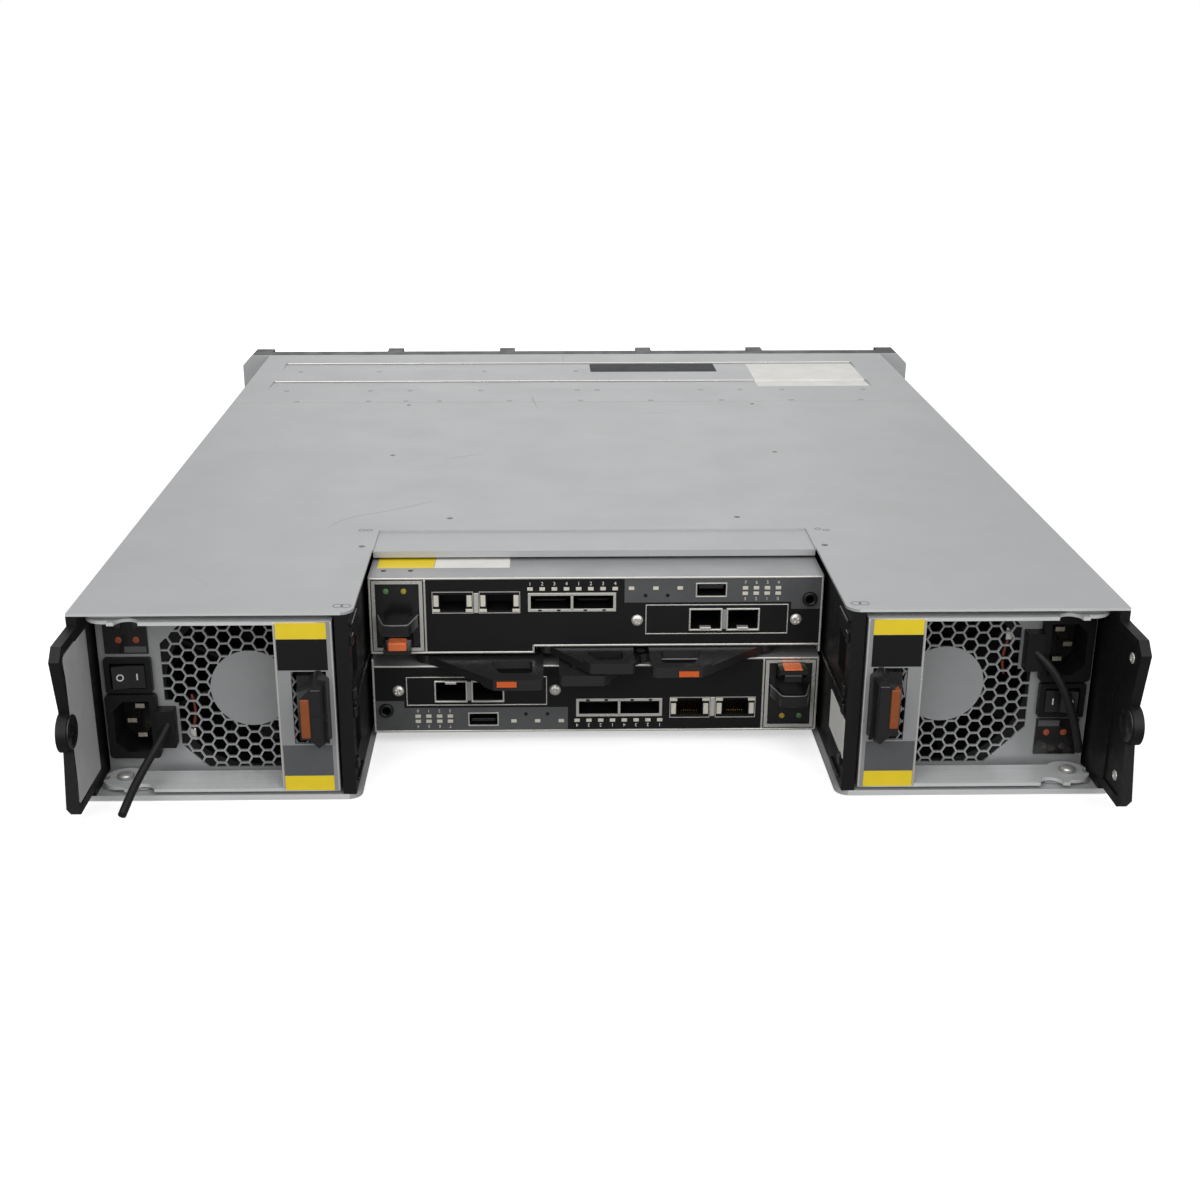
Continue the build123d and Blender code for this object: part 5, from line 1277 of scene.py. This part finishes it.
@dataclass
class Drives:
    """Drive carriers across the front."""

    dresser: Dresser
    columns: Sequence[float] = (-165.6, -55.2, 55.2, 165.6)
    rows: Sequence[float] = (15.683, 43.25, 70.817)
    bezel: Pair = (54.4, 12.98)  # half a bezel's width and height
    front_y: float = 272.5  # front face of the bezels
    bezel_back: float = 257.0  # where the bezel ends and the plated carrier begins
    button_x: Pair = (4.2, 9.6)  # limits of the button from the carrier's centre
    lamp_x: float = -50.2  # lamps' place from the carrier's centre

    def build(self) -> None:
        """Finish every carrier and copy the details of the first one to the others."""
        details = self.details()
        spots = [(x, z) for z in self.rows for x in self.columns]
        for number, (x, z) in enumerate(spots, start=1):
            body = f"drive_{number:02d}"
            self.dresser.coat(body, Finishes.DARK_CARRIER)
            self.dresser.paint(body, Finishes.PLATED_SHEET,
                               lambda c, n: any(v.y < self.bezel_back for v in c))
            for name, (obj, finish, slot) in details.items():
                piece = copied(obj, f"{body}_{name}", Matrix.Translation((x * MM, 0, z * MM)))
                self.dresser.add(piece, body, finish, slot)
        for obj, _, _ in details.values():
            bpy.data.objects.remove(obj)

    def details(self) -> Dict[str, Tuple[Obj, Finishes, str]]:
        """Button, lamps and raised rim of a carrier, modelled about the origin.

        Returns:
            Each detail's object, finish and slot by name.
        """
        y = self.front_y
        button = block("button", self.button_x, (y - 0.3, y + 0.8), (-6.4, 6.4), 0.5)
        cut(button, block("groove", (3.0, 11.0), (y + 0.5, y + 1.5), (-0.35, 0.35), 0.0))
        wide, tall = (grown((-half, half), -0.3) for half in self.bezel)
        rim = rim_frame("rim", wide, tall, (y - 0.2, y + 0.5), 1.2, 0.2)
        power, fault = (spread("lamp", block("lens", (-1.6, 1.6), (-0.3, 0.3), (-0.8, 0.8), 0.15),
                               [(self.lamp_x, y, z)]) for z in (4.0, -4.0))
        return {
            "button": (button, Finishes.ORANGE, "release"),
            "rim": (rim, Finishes.BLACK_MOULDING, "black_moulding"),
            "lamp_power": (power, Finishes.LENS_GREEN, "io_metal"),
            "lamp_fault": (fault, Finishes.LENS_AMBER, "io_metal"),
        }


@dataclass
class Straps:
    """Cord straps that hang from the modules' inlets."""

    diameter: float = 3.6
    left: Sequence[Point] = (
        (-187.6, -245.8, 28.6), (-190.2, -252.2, 23.6), (-193.4, -259.4, 18.8), (-196.3, -267.1, 14.1),
        (-198.5, -276.0, 9.9), (-200.1, -285.9, 5.4))
    right: Sequence[Point] = (
        (188.6, -245.2, 60.6), (193.0, -249.4, 56.8), (198.0, -252.0, 50.4), (201.8, -253.6, 42.8),
        (204.9, -254.4, 34.6), (207.6, -254.9, 26.0), (209.6, -255.4, 17.0))

    def build(self) -> None:
        """Model both straps as smooth splines."""
        for side, route in (("left", self.left), ("right", self.right)):
            self.strap(side, route)

    def strap(self, side: str, route: Sequence[Point]) -> None:
        """One strap along its route.

        Args:
            side: left or right.
            route: points in millimetres.
        """
        obj = line(f"pcm_{side}_cord_strap", route, self.diameter / 2)
        obj.data.materials.append(Finishes.STRAP_NYLON.material)
        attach(obj, f"pcm_{side}")
        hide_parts(f"pcm_{side}_strap")


@dataclass
class Studio:
    """Camera at the photograph's angle, soft light and a pale floor."""

    eye: Point = (-22.87, -873.25, 319.1)  # camera place in millimetres
    pitch: float = 20.44  # degrees down
    yaw: float = 0.92  # degrees towards +X
    sensor: float = 36.0
    lens: float = 47.264
    shift: float = 0.02556  # sideways shift of the frame
    aim: Point = (0.0, 0.0, 0.04)  # point that the lamps look at, in metres
    # Each lamp's name, place and size in metres, and power.
    areas: Sequence[Tuple[str, Point, float, float]] = (
        ("over", (0.0, -0.6, 1.9), 2.2, 18.0), ("rear_left", (-1.0, -1.9, 1.1), 1.6, 17.0),
        ("rear_right", (1.1, -1.9, 1.0), 1.6, 17.0), ("front", (0.0, 2.4, 0.8), 1.4, 5.5))
    glossy_level: float = 0.6  # strength of the white surroundings in reflections
    light_level: float = 0.32  # their strength as light
    floor_size: float = 12.0  # side of the floor in metres
    floor_drop: float = 0.0004  # how far the floor lies under the object, in metres
    fade: Pair = (0.4, 1.4)  # where the floor starts and ends its fade to white, in metres

    def build(self) -> None:
        """Set up camera, lamps, world and floor."""
        self.camera()
        self.lamps()
        self.world()
        self.floor()
        bpy.context.scene.view_settings.view_transform = "Standard"

    @staticmethod
    def stand(name: str, data: bpy.types.ID, place: Vector, ahead: Vector) -> Obj:
        """Stand a camera or lamp at a place.

        Args:
            name: its name.
            data: its camera or light data.
            place: its place in metres.
            ahead: direction that it looks.

        Returns:
            The new object.
        """
        obj = bpy.data.objects.new(name, data)
        bpy.context.scene.collection.objects.link(obj)
        obj.location = place
        obj.rotation_euler = ahead.to_track_quat("-Z", "Y").to_euler()
        return obj

    def camera(self) -> None:
        """Camera fitted to the photograph."""
        data = bpy.data.cameras.new("camera")
        data.sensor_width = self.sensor
        data.lens = self.lens
        data.shift_x = self.shift
        data.clip_end = 50.0
        pitch, yaw = math.radians(self.pitch), math.radians(self.yaw)
        ahead = Vector((math.sin(yaw) * math.cos(pitch), math.cos(yaw) * math.cos(pitch), -math.sin(pitch)))
        bpy.context.scene.camera = self.stand("camera", data, Vector(self.eye) * MM, ahead)

    def lamps(self) -> None:
        """A large soft lamp overhead and weak fills round the object."""
        for name, place, size, power in self.areas:
            data = bpy.data.lights.new(name, "AREA")
            data.energy = power
            data.size = size
            self.stand(name, data, Vector(place), Vector(self.aim) - Vector(place))

    def world(self) -> None:
        """White surroundings to the eye and in reflections, gentler as light."""
        world = bpy.data.worlds.new("studio")
        bpy.context.scene.world = world
        world.use_nodes = True
        tree = world.node_tree
        back = tree.nodes["Background"]
        back.inputs["Color"].default_value = (1.0, 1.0, 1.0, 1.0)
        path = put(tree, "ShaderNodeLightPath")
        seen = put(tree, "ShaderNodeMath", {"operation": "MAXIMUM"},
                   {"#0": path.outputs["Is Camera Ray"], "#1": path.outputs["Is Transmission Ray"]})
        shiny = put(tree, "ShaderNodeMath", {"operation": "MULTIPLY", "#1": self.glossy_level},
                    {"#0": path.outputs["Is Glossy Ray"]})
        either = put(tree, "ShaderNodeMath", {"operation": "MAXIMUM"},
                     {"#0": seen.outputs["Value"], "#1": shiny.outputs["Value"]})
        level = put(tree, "ShaderNodeMath", {"operation": "MAXIMUM", "#1": self.light_level},
                    {"#0": either.outputs["Value"]})
        tree.links.new(level.outputs["Value"], back.inputs["Strength"])

    def floor(self) -> None:
        """Pale floor that keeps the shadow near the object and fades to white round it."""
        deselect()
        bpy.ops.mesh.primitive_plane_add(size=self.floor_size, location=(0, 0, -self.floor_drop))
        obj = bpy.context.object
        obj.name = "studio_floor"
        material = bpy.data.materials.new("pale_floor")
        material.use_nodes = True
        tree = material.node_tree
        shader = tree.nodes["Principled BSDF"]
        shader.inputs["Base Color"].default_value = linear("8A8A8A")
        shader.inputs["Roughness"].default_value = 0.9
        pale = put(tree, "ShaderNodeBsdfDiffuse", {"Color": linear("F4F4F4")})
        place = put(tree, "ShaderNodeTexCoord")
        away = put(tree, "ShaderNodeVectorMath", {"operation": "LENGTH"}, {"#0": place.outputs["Object"]})
        fade = put(tree, "ShaderNodeMapRange",
                   {"From Min": self.fade[0], "From Max": self.fade[1], "To Min": 0.5, "To Max": 1.0},
                   {"Value": away.outputs["Value"]})
        glow = put(tree, "ShaderNodeEmission", {"Color": (1.0, 1.0, 1.0, 1.0)},
                   {"Strength": fade.outputs["Result"]})
        both = put(tree, "ShaderNodeAddShader", {},
                   {"#0": pale.outputs["BSDF"], "#1": glow.outputs["Emission"]})
        path = put(tree, "ShaderNodeLightPath")
        seen = put(tree, "ShaderNodeMixShader", {},
                   {"#0": path.outputs["Is Camera Ray"], "#1": shader.outputs["BSDF"],
                    "#2": both.outputs["Shader"]})
        tree.links.new(seen.outputs["Shader"], tree.nodes["Material Output"].inputs["Surface"])
        obj.data.materials.append(material)


def main() -> None:
    """Build the enclosure's dressing in order."""
    logging.basicConfig(level=logging.INFO, format="%(name)s: %(message)s")
    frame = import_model()
    dresser = Dresser(frame["nodes"])
    Studio().build()
    Straps().build()
    Chassis(dresser).build()
    PowerModules(dresser, "pcm_left", "pcm_right").build()
    Controllers(dresser, "controller_upper", "controller_lower").build()
    Drives(dresser).build()


if __name__ == "__main__":
    main()
